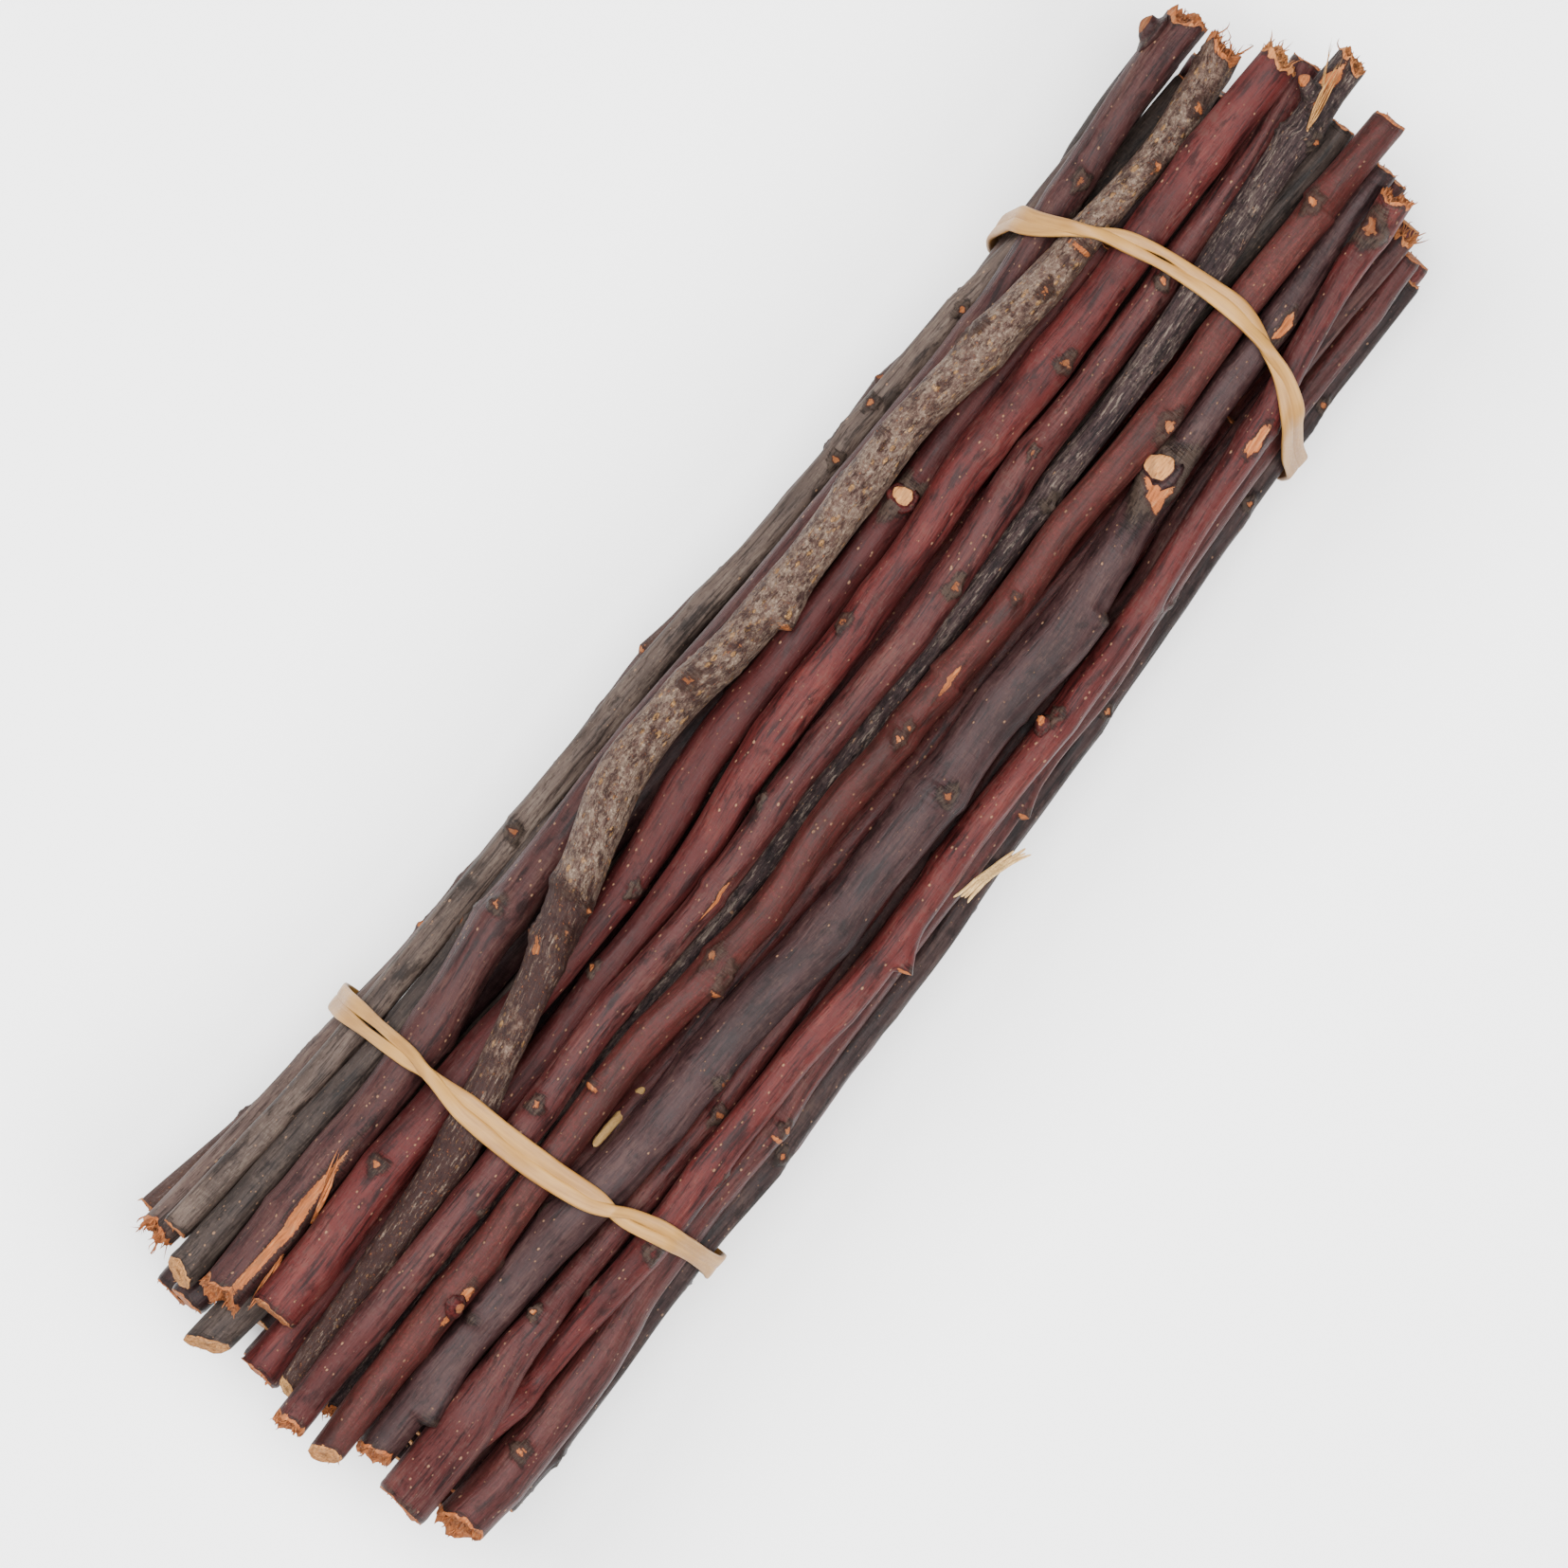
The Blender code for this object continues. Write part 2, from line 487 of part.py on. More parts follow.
def make_sliver(name, width, thickness, path, routes, material):
    """A thin strip lying on whatever twigs are under it."""
    rings = []
    for place, y in path:
        twig_y, twig_z, twig_r = section(place, *routes)
        clear = twig_r + GAP
        lift = 0.0
        for edge in (y - width / 2, y, y + width / 2):
            inside = np.maximum(clear ** 2 - (edge - twig_y) ** 2, 0)
            on_top = np.where(inside > 0, twig_z + np.sqrt(inside), 0)
            lift = max(lift, on_top.max())
        rings.append([(place, y - width / 2, lift), (place, y + width / 2, lift),
                      (place, y + width / 2, lift + thickness),
                      (place, y - width / 2, lift + thickness)])
    return make_object(name, loft(rings), material)


def left_band_place(across, on_top):
    if on_top:
        return LEFT_TOP + LEFT_BEND * max(0.0, LEFT_BEND_START - across) ** 2
    return LEFT_UNDER - LEFT_SLANT * across


def right_band_place(across, on_top):
    if on_top:
        return RIGHT_SIDE + RIGHT_BOW * max(0.0, 1 - abs(across / RIGHT_REACH) ** RIGHT_ROUNDNESS)
    return RIGHT_SIDE


def centre_on_origin(objects):
    """Put the middle of the whole outline over the origin. The bands already rest on z = 0."""
    corners = np.array([vertex.co for thing in objects for vertex in thing.data.vertices])
    middle = (corners.min(axis=0) + corners.max(axis=0)) / 2
    for thing in bpy.data.objects:
        for vertex in thing.data.vertices:
            vertex.co.x -= middle[0]
            vertex.co.y -= middle[1]


for leftover in list(bpy.data.objects):
    bpy.data.objects.remove(leftover)

barks = {name: make_material(name, *look) for name, look in BARKS.items()}
rubber = make_material("rubber_band", *RUBBER)
pale_wood = make_material("pale_wood", *PALE_WOOD)

twigs, across, height, radius = first_places()
across, height = press_together(twigs, across, height, radius)
routes = (across, height, radius)
made = {}
for number, twig in enumerate(twigs):
    route = [rows[number] for rows in routes]
    made[twig[0]] = make_twig(twig, route, barks[twig[1]])
    for owner, *shape in STUBS:
        if owner == twig[0]:
            add_stub(made[owner], *shape, route)
made["rubber_band_left"] = make_band("rubber_band_left", left_band_place, routes, rubber)
made["rubber_band_right"] = make_band("rubber_band_right", right_band_place, routes, rubber)
for name, (width, thickness, path) in SLIVERS.items():
    made[name] = make_sliver(name, width, thickness, path, routes, pale_wood)
centre_on_origin(made.values())
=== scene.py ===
import json
import math

import bpy
import numpy as np
from mathutils import Matrix, Vector


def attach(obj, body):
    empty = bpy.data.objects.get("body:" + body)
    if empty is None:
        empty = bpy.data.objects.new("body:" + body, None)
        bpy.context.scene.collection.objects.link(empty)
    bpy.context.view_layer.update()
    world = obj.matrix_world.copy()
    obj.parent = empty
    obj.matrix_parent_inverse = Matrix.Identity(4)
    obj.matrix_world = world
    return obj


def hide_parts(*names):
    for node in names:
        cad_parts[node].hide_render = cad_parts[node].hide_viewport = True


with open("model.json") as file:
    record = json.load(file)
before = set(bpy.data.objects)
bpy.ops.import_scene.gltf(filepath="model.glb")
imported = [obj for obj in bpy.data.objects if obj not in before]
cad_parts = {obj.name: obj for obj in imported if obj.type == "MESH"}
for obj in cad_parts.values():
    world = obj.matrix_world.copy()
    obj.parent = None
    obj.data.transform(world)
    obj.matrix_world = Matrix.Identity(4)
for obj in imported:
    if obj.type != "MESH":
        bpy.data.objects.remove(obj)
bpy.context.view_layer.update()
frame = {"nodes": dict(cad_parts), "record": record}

# The floor, the light and the camera. The bundle lies on a plain white sheet under wide soft
# lights, and the camera looks straight down on it through a long lens, turned so that the
# twigs run from the lower left to the upper right.
MM = 0.001
TWIG_SLANT = math.radians(51.7)
VIEW_MIDDLE = (-5.66, 0.15, 14.0)   # mm, like the next two
VIEW_WIDTH = 165.5
CAMERA_DISTANCE = 1100.0


def white_floor():
    """A flat square sheet just under the bands."""
    half, level = 1.2, -0.0001      # metres
    mesh = bpy.data.meshes.new("floor")
    mesh.from_pydata([(-half, -half, level), (half, -half, level), (half, half, level),
                      (-half, half, level)], [], [(0, 1, 2, 3)])
    paper = bpy.data.materials.new("floor_paper")
    paper.use_nodes = True
    shader = paper.node_tree.nodes["Principled BSDF"]
    shader.inputs["Base Color"].default_value = (0.93, 0.93, 0.93, 1)
    shader.inputs["Roughness"].default_value = 0.9
    shader.inputs["Specular IOR Level"].default_value = 0.0
    mesh.materials.append(paper)
    floor = bpy.data.objects.new("floor", mesh)
    bpy.context.scene.collection.objects.link(floor)
    return floor


def soft_light(name, place, aim, size, power):
    """A square area light at a place in metres, turned to face a point."""
    lamp = bpy.data.lights.new(name, "AREA")
    lamp.size = size
    lamp.energy = power
    light = bpy.data.objects.new(name, lamp)
    light.location = place
    light.rotation_euler = (Vector(aim) - Vector(place)).to_track_quat("-Z", "Y").to_euler()
    bpy.context.scene.collection.objects.link(light)


white_floor()
across_picture = Vector((math.cos(TWIG_SLANT), -math.sin(TWIG_SLANT), 0))
up_picture = Vector((math.sin(TWIG_SLANT), math.cos(TWIG_SLANT), 0))
soft_light("light_over", (0, 0, 1.0), (0, 0, 0), 0.6, 22)
soft_light("light_far_side", (0, 0.62, 0.85), (0, 0, 0), 0.55, 19)
soft_light("light_near_side", (0, -0.62, 0.85), (0, 0, 0), 0.55, 17)
soft_light("light_left_end", (-0.7, 0, 0.6), (0, 0, 0.02), 0.5, 3)
world = bpy.data.worlds.new("studio")
world.use_nodes = True
world.node_tree.nodes["Background"].inputs["Color"].default_value = (1, 1, 1, 1)
world.node_tree.nodes["Background"].inputs["Strength"].default_value = 0.07
bpy.context.scene.world = world

camera_data = bpy.data.cameras.new("camera")
camera_data.sensor_width = 36
camera_data.sensor_fit = "HORIZONTAL"
camera_data.lens = camera_data.sensor_width * (CAMERA_DISTANCE - VIEW_MIDDLE[2]) / VIEW_WIDTH
camera = bpy.data.objects.new("camera", camera_data)
camera.matrix_world = Matrix((
    (across_picture.x, up_picture.x, 0, VIEW_MIDDLE[0] * MM),
    (across_picture.y, up_picture.y, 0, VIEW_MIDDLE[1] * MM),
    (0, 0, 1, CAMERA_DISTANCE * MM),
    (0, 0, 0, 1)))
bpy.context.scene.collection.objects.link(camera)
bpy.context.scene.camera = camera


# The red twigs: young cut shoots with thin satin bark, brightest in the middle of the bundle.
# Each is one grown piece with a clean or torn end face, round knots where side shoots fell,
# and pale dots where the bark breathes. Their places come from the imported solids' rings.
FRAME_SHIFT = np.array([-6.55, -1.38])  # mm along and across, from these places to the frame's
STATIONS = np.arange(-80.0, 91.0, 10.0) + FRAME_SHIFT[0]    # mm, where packed twigs have rings
END_CLEARANCE = 1.9     # mm at least from a twig's end to the nearest of those rings
SCAR_WOOD = (0.105, 0.034, 0.014)       # bare wood, from old and brown to fresh and pale
ORANGE_WOOD = (0.255, 0.075, 0.0225)
PALE_WOOD = (0.37, 0.195, 0.066)


class Value:
    """A shader socket that can be added, subtracted and multiplied in Python expressions."""

    def __init__(self, paint, socket):
        self.paint, self.socket = paint, socket

    def _math(self, operation, first, second):
        settings = {"operation": operation}
        return self.paint.node("ShaderNodeMath", settings, {0: first, 1: second})

    def __add__(self, other): return self._math("ADD", self, other)
    def __radd__(self, other): return self._math("ADD", other, self)
    def __sub__(self, other): return self._math("SUBTRACT", self, other)
    def __rsub__(self, other): return self._math("SUBTRACT", other, self)
    def __mul__(self, other): return self._math("MULTIPLY", self, other)
    def __rmul__(self, other): return self._math("MULTIPLY", other, self)

    def sibling(self, output):
        """Another output of the same node."""
        return Value(self.paint, self.socket.node.outputs[output])

    def step(self, low, high):
        """Rises smoothly from 0 at low to 1 at high."""
        return self.paint.node("ShaderNodeMapRange", {"interpolation_type": "SMOOTHSTEP"},
                               {"Value": self, "From Min": low, "From Max": high})


class Paint:
    """One procedural material and the nodes added to it."""

    def __init__(self, name):
        self.material = bpy.data.materials.new(name)
        self.material.use_nodes = True
        self.tree = self.material.node_tree
        self.shader = self.tree.nodes["Principled BSDF"]

    def node(self, kind, settings=None, sockets=None, output=0):
        """Adds a node: its settings first, then the values or links of its sockets."""
        made = self.tree.nodes.new(kind)
        for name, value in (settings or {}).items():
            setattr(made, name, value)
        self.feed(made, sockets or {})
        return Value(self, made.outputs[output])

    def feed(self, node, sockets):
        """Links each socket to a Value, or sets its default value."""
        for name, value in sockets.items():
            if isinstance(value, Value):
                self.tree.links.new(value.socket, node.inputs[name])
            elif value is not None:
                node.inputs[name].default_value = value

    def attribute(self, name, output="Fac"):
        return self.node("ShaderNodeAttribute", {"attribute_name": name}, output=output)

    def stretch(self, vector, scale, shift=(0, 0, 0)):
        """Multiplies and moves a place, to draw a pattern out along one direction."""
        return self.node("ShaderNodeVectorMath", {"operation": "MULTIPLY_ADD"},
                         {0: vector, 1: scale, 2: shift})

    def noise(self, vector, scale, detail=3.0, roughness=0.55):
        return self.node("ShaderNodeTexNoise", None, {
            "Vector": vector, "Scale": scale, "Detail": detail, "Roughness": roughness})

    def grained(self, vector, scale, detail=3.0, roughness=0.55, shift=(0, 0, 0)):
        """Noise on a stretched place, so that its grain runs along one direction."""
        return self.noise(self.stretch(vector, scale, shift), 1.0, detail, roughness)

    def cells(self, vector, scale, shift=(0, 0, 0)):
        """Distance to the nearest of many scattered spots. Output 1 is each spot's chance."""
        return self.node("ShaderNodeTexVoronoi", None, {
            "Vector": self.stretch(vector, scale, shift), "Scale": 1.0})

    def mix(self, share, first, second):
        """Colour between two colours."""
        colours = [(*colour, 1) if isinstance(colour, tuple) and len(colour) == 3 else colour
                   for colour in (first, second)]
        return self.node("ShaderNodeMix", {"data_type": "RGBA"},
                         {0: share, 6: colours[0], 7: colours[1]}, output=2)

    def finish(self, colour, roughness, height, depth_mm, strength, sheen=0.10):
        """Feeds the shader, with the height as a bump of a depth in mm."""
        bump = self.node("ShaderNodeBump", None,
                         {"Strength": strength, "Distance": depth_mm * MM, "Height": height})
        self.feed(self.shader, {"Base Color": colour, "Roughness": roughness, "Normal": bump,
                                "Specular IOR Level": sheen})
        return self.material


def shade(colour, share):
    """A darker colour: each of its parts times the share."""
    return tuple(part * share for part in colour)


def bare_wood(paint, place, tone):
    """Colour of exposed wood: brown in old scars, orange where torn, pale where cut.

    The place's second and third parts measure how far a point is from the twig's middle, so
    year rings and a dark pith show on the end faces and leave the sides as they are.
    """
    fibre = paint.grained(place, (0.4, 3.6, 3.6), 4.0, 0.65)
    colour = paint.mix(tone.step(0.0, 0.5), SCAR_WOOD, ORANGE_WOOD)
    colour = paint.mix(tone.step(0.5, 1.0), colour, PALE_WOOD)
    colour = paint.mix(fibre.step(0.50, 0.70) * (tone * 0.4 + 0.1), colour, (0.52, 0.29, 0.120))
    colour = paint.mix(fibre.step(0.52, 0.32) * 0.8, colour, (0.085, 0.026, 0.010))
    years = paint.node("ShaderNodeTexWave", {"wave_type": "RINGS", "rings_direction": "X"},
                       {"Vector": place, "Scale": 0.32, "Distortion": 2.0, "Detail": 2.0,
                        "Detail Scale": 1.5})
    colour = paint.mix(years.step(0.35, 0.9) * 0.3, colour, (0.120, 0.048, 0.020))
    stain = paint.grained(place, (0.6, 0.9, 0.9), shift=(9, 2, 1))
    colour = paint.mix(stain.step(0.50, 0.66) * 0.35, colour, (0.110, 0.060, 0.034))
    middle = paint.node("ShaderNodeVectorMath", {"operation": "LENGTH"},
                        {0: paint.stretch(place, (0.0, 1.0, 1.0))}, output="Value")
    return paint.mix(middle.step(0.42, 0.22) * 0.6, colour, (0.060, 0.024, 0.012))


def bark(name, dark, middle, light, film=(0.052, 0.031, 0.026), film_share=0.4,
         dots=(0.22, 0.125, 0.072), dot_size=0.15, gloss=(0.42, 0.66), streaks=0.5,
         crust=None, scuff_share=0.6, depth=0.15):
    """Bark whose streaks run along the twig, over bare wood where the wood field is above 0.

    The streaks are noise drawn out along the twig. A dusty film, dark smudges and small dots
    of uneven size lie over them. On a bark without crust, painted shade darkens it towards its
    dark colour where the twig's crust and shade field is high; on a crusted bark that field and
    noise lay a crust. Painted shade also darkens the grooves between the folds near knots.
    """
    paint = Paint(name)
    place = paint.attribute("place", "Vector")
    wood = paint.attribute("wood")
    tone = paint.attribute("tone")
    scar = paint.attribute("scar")
    zones = paint.grained(place, (0.05, 0.16, 0.16))
    slow = paint.grained(place, (0.13, 0.42, 0.42), 4.0, 0.6, shift=(5, 3, 8))
    lines = paint.grained(place, (0.14, 2.4, 2.4), 4.0, 0.66)
    grain = paint.grained(place, (0.9, 5.5, 5.5), 3.0, 0.62)
    rings = paint.grained(place, (3.0, 0.5, 0.5))
    blend = slow * (1 - streaks) + lines * streaks
    colour = paint.mix(blend.step(0.36, 0.50), dark, middle)
    colour = paint.mix(blend.step(0.50, 0.66) * zones.step(0.38, 0.60) * 0.9, colour, light)
    colour = paint.mix(zones.step(0.46, 0.34) * 0.55, colour, shade(dark, 0.8))
    dust = grain * 0.5 + rings * 0.2 + slow * 0.3
    colour = paint.mix(dust.step(0.50, 0.60) * film_share, colour, film)
    colour = paint.mix(grain.step(0.44, 0.32) * 0.6, colour, shade(dark, 0.4))
    colour = paint.mix(lines.step(0.46, 0.37) * 0.45, colour, shade(dark, 0.45))
    smudge = paint.grained(place, (0.22, 0.5, 0.5), 6.0, 0.7, shift=(17, 2, 6))
    colour = paint.mix(smudge.step(0.55, 0.66) * 0.7, colour, shade(dark, 0.4))
    crust_and_shade = paint.attribute("crust_and_shade")
    # Painted shade: on a bark without crust, the crust and shade field darkens the bark towards
    # its dark colour.
    if not crust:
        colour = paint.mix(crust_and_shade * 0.6, colour, dark)
    cells = paint.cells(place, (1.15, 1.6, 1.6))
    chance = cells.sibling(1)
    ragged = paint.noise(place, 4.0, 2.0)
    reach = cells + ragged * 0.22 + (1 - chance) * 0.5
    dot = reach.step(dot_size + 0.30, dot_size + 0.14)
    colour = paint.mix(dot * (0.35 if crust else 0.6), colour, dots)
    height = lines * 0.45 + grain * 0.4 + rings * 0.22 + dot * 0.4 + slow * 0.3
    if crust:
        crust_light, crust_dark = crust
        spread = paint.grained(place, (0.55, 0.8, 0.8), 7.0, 0.74, shift=(3, 40, 9))
        crust_and_shade = (spread + crust_and_shade * 0.30).step(0.62, 0.80)
        mottle = paint.grained(place, (0.8, 1.5, 1.5), 7.0, 0.72)
        tint = paint.mix(mottle.step(0.38, 0.62), crust_dark, crust_light)
        tint = paint.mix(zones.step(0.42, 0.62) * 0.4, tint, (0.115, 0.062, 0.045))
        scuff = paint.grained(place, (0.45, 2.6, 2.6), 6.0, 0.75, shift=(1, 7, 2))
        colour = paint.mix(scuff.step(0.55, 0.62) * scuff_share, colour, crust_light)
        colour = paint.mix(crust_and_shade * 0.85, colour, tint)
        flecks = paint.grained(place, (1.0, 2.0, 2.0), 2.0, 0.5, shift=(8, 1, 4))
        fleck = (flecks + spread * 0.25 + crust_and_shade * 0.07).step(0.83, 0.88)
        colour = paint.mix(fleck * 0.6, colour, dots)
        large = paint.cells(place, (0.75, 1.25, 1.25), (4, 4, 4))
        reach = large + ragged * 0.2 + (1 - large.sibling(1)) * 0.75
        pore = reach.step(0.60, 0.48) * crust_and_shade.step(0.15, 0.5)
        colour = paint.mix(pore * 0.85, colour, dots)
        crack = paint.grained(place, (0.8, 2.6, 2.6), 5.0, 0.7, shift=(2, 9, 5))
        colour = paint.mix(crack.step(0.46, 0.38) * 0.85, colour, shade(dark, 0.5))
        height = height + crust_and_shade * 0.35 + mottle * 0.5 + fleck * 0.3 + crack * 0.6 + pore * 0.7
    folds = paint.grained(place, (4.5, 0.9, 0.9), 4.0, 0.62, shift=(6, 6, 6))
    height = height + folds * scar * 1.6
    # Painted shade: the grooves between the folds near knots are darkened.
    painted_groove_shade = (folds - scar * 0.12).step(0.45, 0.36) * scar.step(0.08, 0.5)
    colour = paint.mix(painted_groove_shade * 0.8, colour, shade(dark, 0.35))
    edge = wood + (paint.noise(place, 3.0, 4.0, 0.7) - 0.5) * 1.0
    collar = (scar + (slow - 0.5) * 0.9 + (grain - 0.5) * 0.8).step(0.30, 0.66)
    colour = paint.mix(collar * 0.7, colour, (0.012, 0.0075, 0.006))
    ashy = (scar * 0.8 + (grain - 0.5) * 2.2 + (slow - 0.5) * 1.5).step(0.50, 0.80)
    colour = paint.mix(ashy * 0.3, colour, (0.075, 0.052, 0.038))
    colour = paint.mix(edge.step(-0.45, -0.06) * 0.7, colour, (0.022, 0.008, 0.006))
    bare = edge.step(-0.03, 0.09)
    colour = paint.mix(bare, colour, bare_wood(paint, place, tone))
    roughness = (slow * 0.4 + grain * 0.6).step(0.35, 0.65) * (gloss[1] - gloss[0]) + gloss[0]
    roughness = roughness + bare * 0.25
    return paint.finish(colour, roughness, height, depth, 0.9)


def bell(distance, width):
    """Falls smoothly from 1 at no distance: exp(-(distance / width) squared)."""
    return np.exp(-(distance / width) ** 2)


def turns(columns):
    """Angles once round, one for each column of a grid."""
    return np.linspace(0, 2 * math.pi, columns, endpoint=False)[None, :]


def unit(vectors):
    """Vectors of the same directions, each divided by its length."""
    return vectors / np.linalg.norm(vectors, axis=-1, keepdims=True)


def wander(seed, places, step):
    """Smooth random curve from -1 to 1: random values every step, joined by cosine easing."""
    chance = np.random.default_rng(seed)
    spots = (places - places.min()) / step
    values = chance.uniform(-1, 1, int(spots.max()) + 3)
    low = spots.astype(int)
    ease = (1 - np.cos(math.pi * (spots - low))) / 2
    return values[low] * (1 - ease) + values[low + 1] * ease


def packed_points(node):
    """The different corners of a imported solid, in mm."""
    points = np.array([corner.co[:] for corner in frame["nodes"][node].data.vertices]) / MM
    return np.unique(points.round(3), axis=0)


def twig_rings(node):
    """Reads along, across, height and radius, in mm, of each ring of a packed twig.

    A ring is the set of points with one X. Its circle solves y*y + z*z = 2ay + 2bz + c.
    """
    points = packed_points(node)
    ends = points[:, 0].min(), points[:, 0].max()
    inside = (STATIONS > ends[0] + END_CLEARANCE) & (STATIONS < ends[1] - END_CLEARANCE)
    places = [ends[0], *STATIONS[inside], ends[1]]
    rings = []
    for place in places:
        ring = points[np.abs(points[:, 0] - place) < 0.01][:, 1:]
        if len(ring) < 5:
            continue
        for _ in range(3):
            table = np.column_stack([2 * ring, np.ones(len(ring))])
            a, b, c = np.linalg.lstsq(table, (ring ** 2).sum(axis=1), rcond=None)[0]
            radius = math.sqrt(c + a * a + b * b)
            off = np.abs(np.hypot(ring[:, 0] - a, ring[:, 1] - b) - radius)
            ring = ring[off <= max(0.02, np.sort(off)[4])]
        rings.append((place, a, b, radius))
    return np.array(rings)


def smooth_route(rings, places):
    """Cubic Hermite curve through the rings, with slopes from each ring's neighbours."""
    along = rings[:, 0]
    slopes = np.gradient(rings[:, 1:], along, axis=0)
    low = np.clip(np.searchsorted(along, places) - 1, 0, len(along) - 2)
    span = along[low + 1] - along[low]
    t = ((places - along[low]) / span)[:, None]
    span = span[:, None]
    return ((2 * t ** 3 - 3 * t ** 2 + 1) * rings[low, 1:]
            + (t ** 3 - 2 * t ** 2 + t) * span * slopes[low]
            + (3 * t ** 2 - 2 * t ** 3) * rings[low + 1, 1:]
            + (t ** 3 - t ** 2) * span * slopes[low + 1])


PATTERN_STEP = 61.0     # mm from one piece's place in the bark's pattern to the next one's


class Growth:
    """Points, faces and attributes of one piece, gathered from several grids."""

    fields = ("wood", "tone", "scar", "crust_and_shade")

    def __init__(self, seed):
        self.seed = seed
        self.points, self.faces, self.place, self.size = [], [], [], 0
        self.stores = {label: [] for label in self.fields}

    def add_grid(self, points, place, wood, tone, scar=0.0, crust_and_shade=0.0, caps=(True, True)):
        """Adds a grid of rows by columns, closed round its columns, in mm.

        A face runs from its corner along the row axis first, so that it points outwards. A
        cap fills the first or last row with quads laid across it like a ladder's rungs.
        """
        rows, columns = points.shape[:2]
        number = np.arange(rows * columns).reshape(rows, columns) + self.size
        after = np.roll(number, -1, axis=1)
        faces = np.stack([number[:-1], number[1:], after[1:], after[:-1]], axis=-1)
        self.faces.append(faces.reshape(-1, 4))
        near = np.arange(columns // 2 - 1)
        rungs = np.stack([near, near + 1, columns - 2 - near, columns - 1 - near], axis=-1)
        if caps[0]:
            self.faces.append(number[0][rungs])
        if caps[1]:
            self.faces.append(number[-1][rungs[:, ::-1]])
        self.points.append(points.reshape(-1, 3))
        self.place.append(place.reshape(-1, 3) + [self.seed * PATTERN_STEP, 0, 0])
        for label, value in zip(self.fields, (wood, tone, scar, crust_and_shade)):
            self.stores[label].append(np.broadcast_to(value, (rows, columns)).reshape(-1))
        self.size += rows * columns

    def make(self, name, material, node):
        """Turns the grids into one object that stands for the CAD node."""
        mesh = bpy.data.meshes.new(name)
        points = np.concatenate(self.points) * MM
        faces = np.concatenate(self.faces)
        mesh.vertices.add(len(points))
        mesh.vertices.foreach_set("co", points.ravel())
        mesh.loops.add(faces.size)
        mesh.loops.foreach_set("vertex_index", faces.ravel())
        mesh.polygons.add(len(faces))
        mesh.polygons.foreach_set("loop_start", np.arange(0, faces.size, 4))
        mesh.polygons.foreach_set("use_smooth", np.ones(len(faces), bool))
        mesh.update(calc_edges=True)
        place = mesh.attributes.new("place", "FLOAT_VECTOR", "POINT")
        place.data.foreach_set("vector", np.concatenate(self.place).ravel())
        for label, store in self.stores.items():
            field = mesh.attributes.new(label, "FLOAT", "POINT")
            field.data.foreach_set("value", np.concatenate(store).astype(float))
        mesh.materials.append(material)
        piece = bpy.data.objects.new(name, mesh)
        bpy.context.scene.collection.objects.link(piece)
        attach(piece, "root")
        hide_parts(node)


POLE_RADIUS = 0.001     # mm, of the small rings that caps close


def add_fibres(growth, starts, tips, width, tone, bend):
    """Thin splinters: four-sided spikes from starts to tips that bend a little on the way.

    A point at share t is start + (tip - start) t + bend sin(pi t), and its half width falls
    as width (1 - t) ** 0.6. The first and last rings are drawn in, and caps close them.
    """
    chance = np.random.default_rng(growth.seed + 900)
    count = len(starts)
    t = np.array([0.0, 0.0, 0.3, 0.55, 0.8, 1.0])[None, :, None]
    run = (tips - starts)[:, None, :]
    length = np.linalg.norm(run, axis=2, keepdims=True)
    sway = chance.normal(0, bend, (count, 1, 3)) * length
    centre = starts[:, None, :] + run * t + sway * np.sin(math.pi * t)
    side = unit(np.cross(run, [0.3, 0.5, 0.8]))
    other = np.cross(side, run / length)
    half = np.reshape(width, (-1, 1, 1)) * (1 - t) ** 0.6 + 0.004
    half[:, [0, -1]] = POLE_RADIUS
    corners = [centre + half * side, centre + half * 0.5 * other,
               centre - half * side, centre - half * 0.5 * other]
    rings = np.stack(corners, axis=2)
    for number, ring in enumerate(rings):
        growth.add_grid(ring, ring + [0, number * 3.0, 0], 1.0, tone)


def add_shoot(growth, root, direction, forward, reach, base, tip, tone, cut):
    """The remains of a side shoot: a flared stub, or a ragged spur where cut is 0.

    The profile's radius falls from base to tip with a wide foot at the bark, then closes
    over the end. It leans along the twig, with unevenness round it and a tilted end face.
    """
    columns = 30
    angle = turns(columns)
    out = np.array([-0.9, -0.4, -0.15, 0.05, 0.25, 0.45, 0.65, 0.85, 1.0, 1.12, 1.35, 1.5, 1.56])
    foot = 1 + 0.55 * bell(out + 0.2, 0.30)
    size = (base + (tip - base) * np.clip(out, 0, 1)) * foot
    close = np.ones(len(out))
    close[8:] = (0.95, 0.82, 0.55, 0.28, 0.001)
    uneven = (1 + 0.10 * np.cos(2 * angle + growth.seed) + 0.07 * np.cos(3 * angle + 1.3)
              + 0.04 * np.cos(7 * angle + out[:, None] * 3))
    radius = (size * close)[:, None] * uneven
    side = np.cross(direction, forward)
    tilt = (0.10 if cut else 0.55) * tip
    lift = (out * reach)[:, None] + tilt * np.cos(angle - 0.8) * (
        np.clip(out, 0, 1) * close)[:, None]
    if not cut:
        lift = lift + 0.22 * tip * np.cos(6 * angle + growth.seed) * (out >= 0.85)[:, None] * (
            close[:, None])
    lean = 0.35 * reach * np.clip(out, 0, 1) ** 2
    centre = root + lean[:, None] * forward
    points = (centre[:, None, :] + lift[..., None] * direction + radius[..., None] * (
        np.cos(angle)[..., None] * forward + np.sin(angle)[..., None] * side))
    wood = np.full(len(out), -1.5)
    wood[8:] = (-0.15, 0.5, 1.0, 1.0, 1.0)
    scar = np.clip(0.5 - np.abs(out - 0.1), 0, 0.5)
    growth.add_grid(points[:, ::-1], points[:, ::-1] + [0, 9, 0], wood[:, None], tone,
                    scar[:, None])


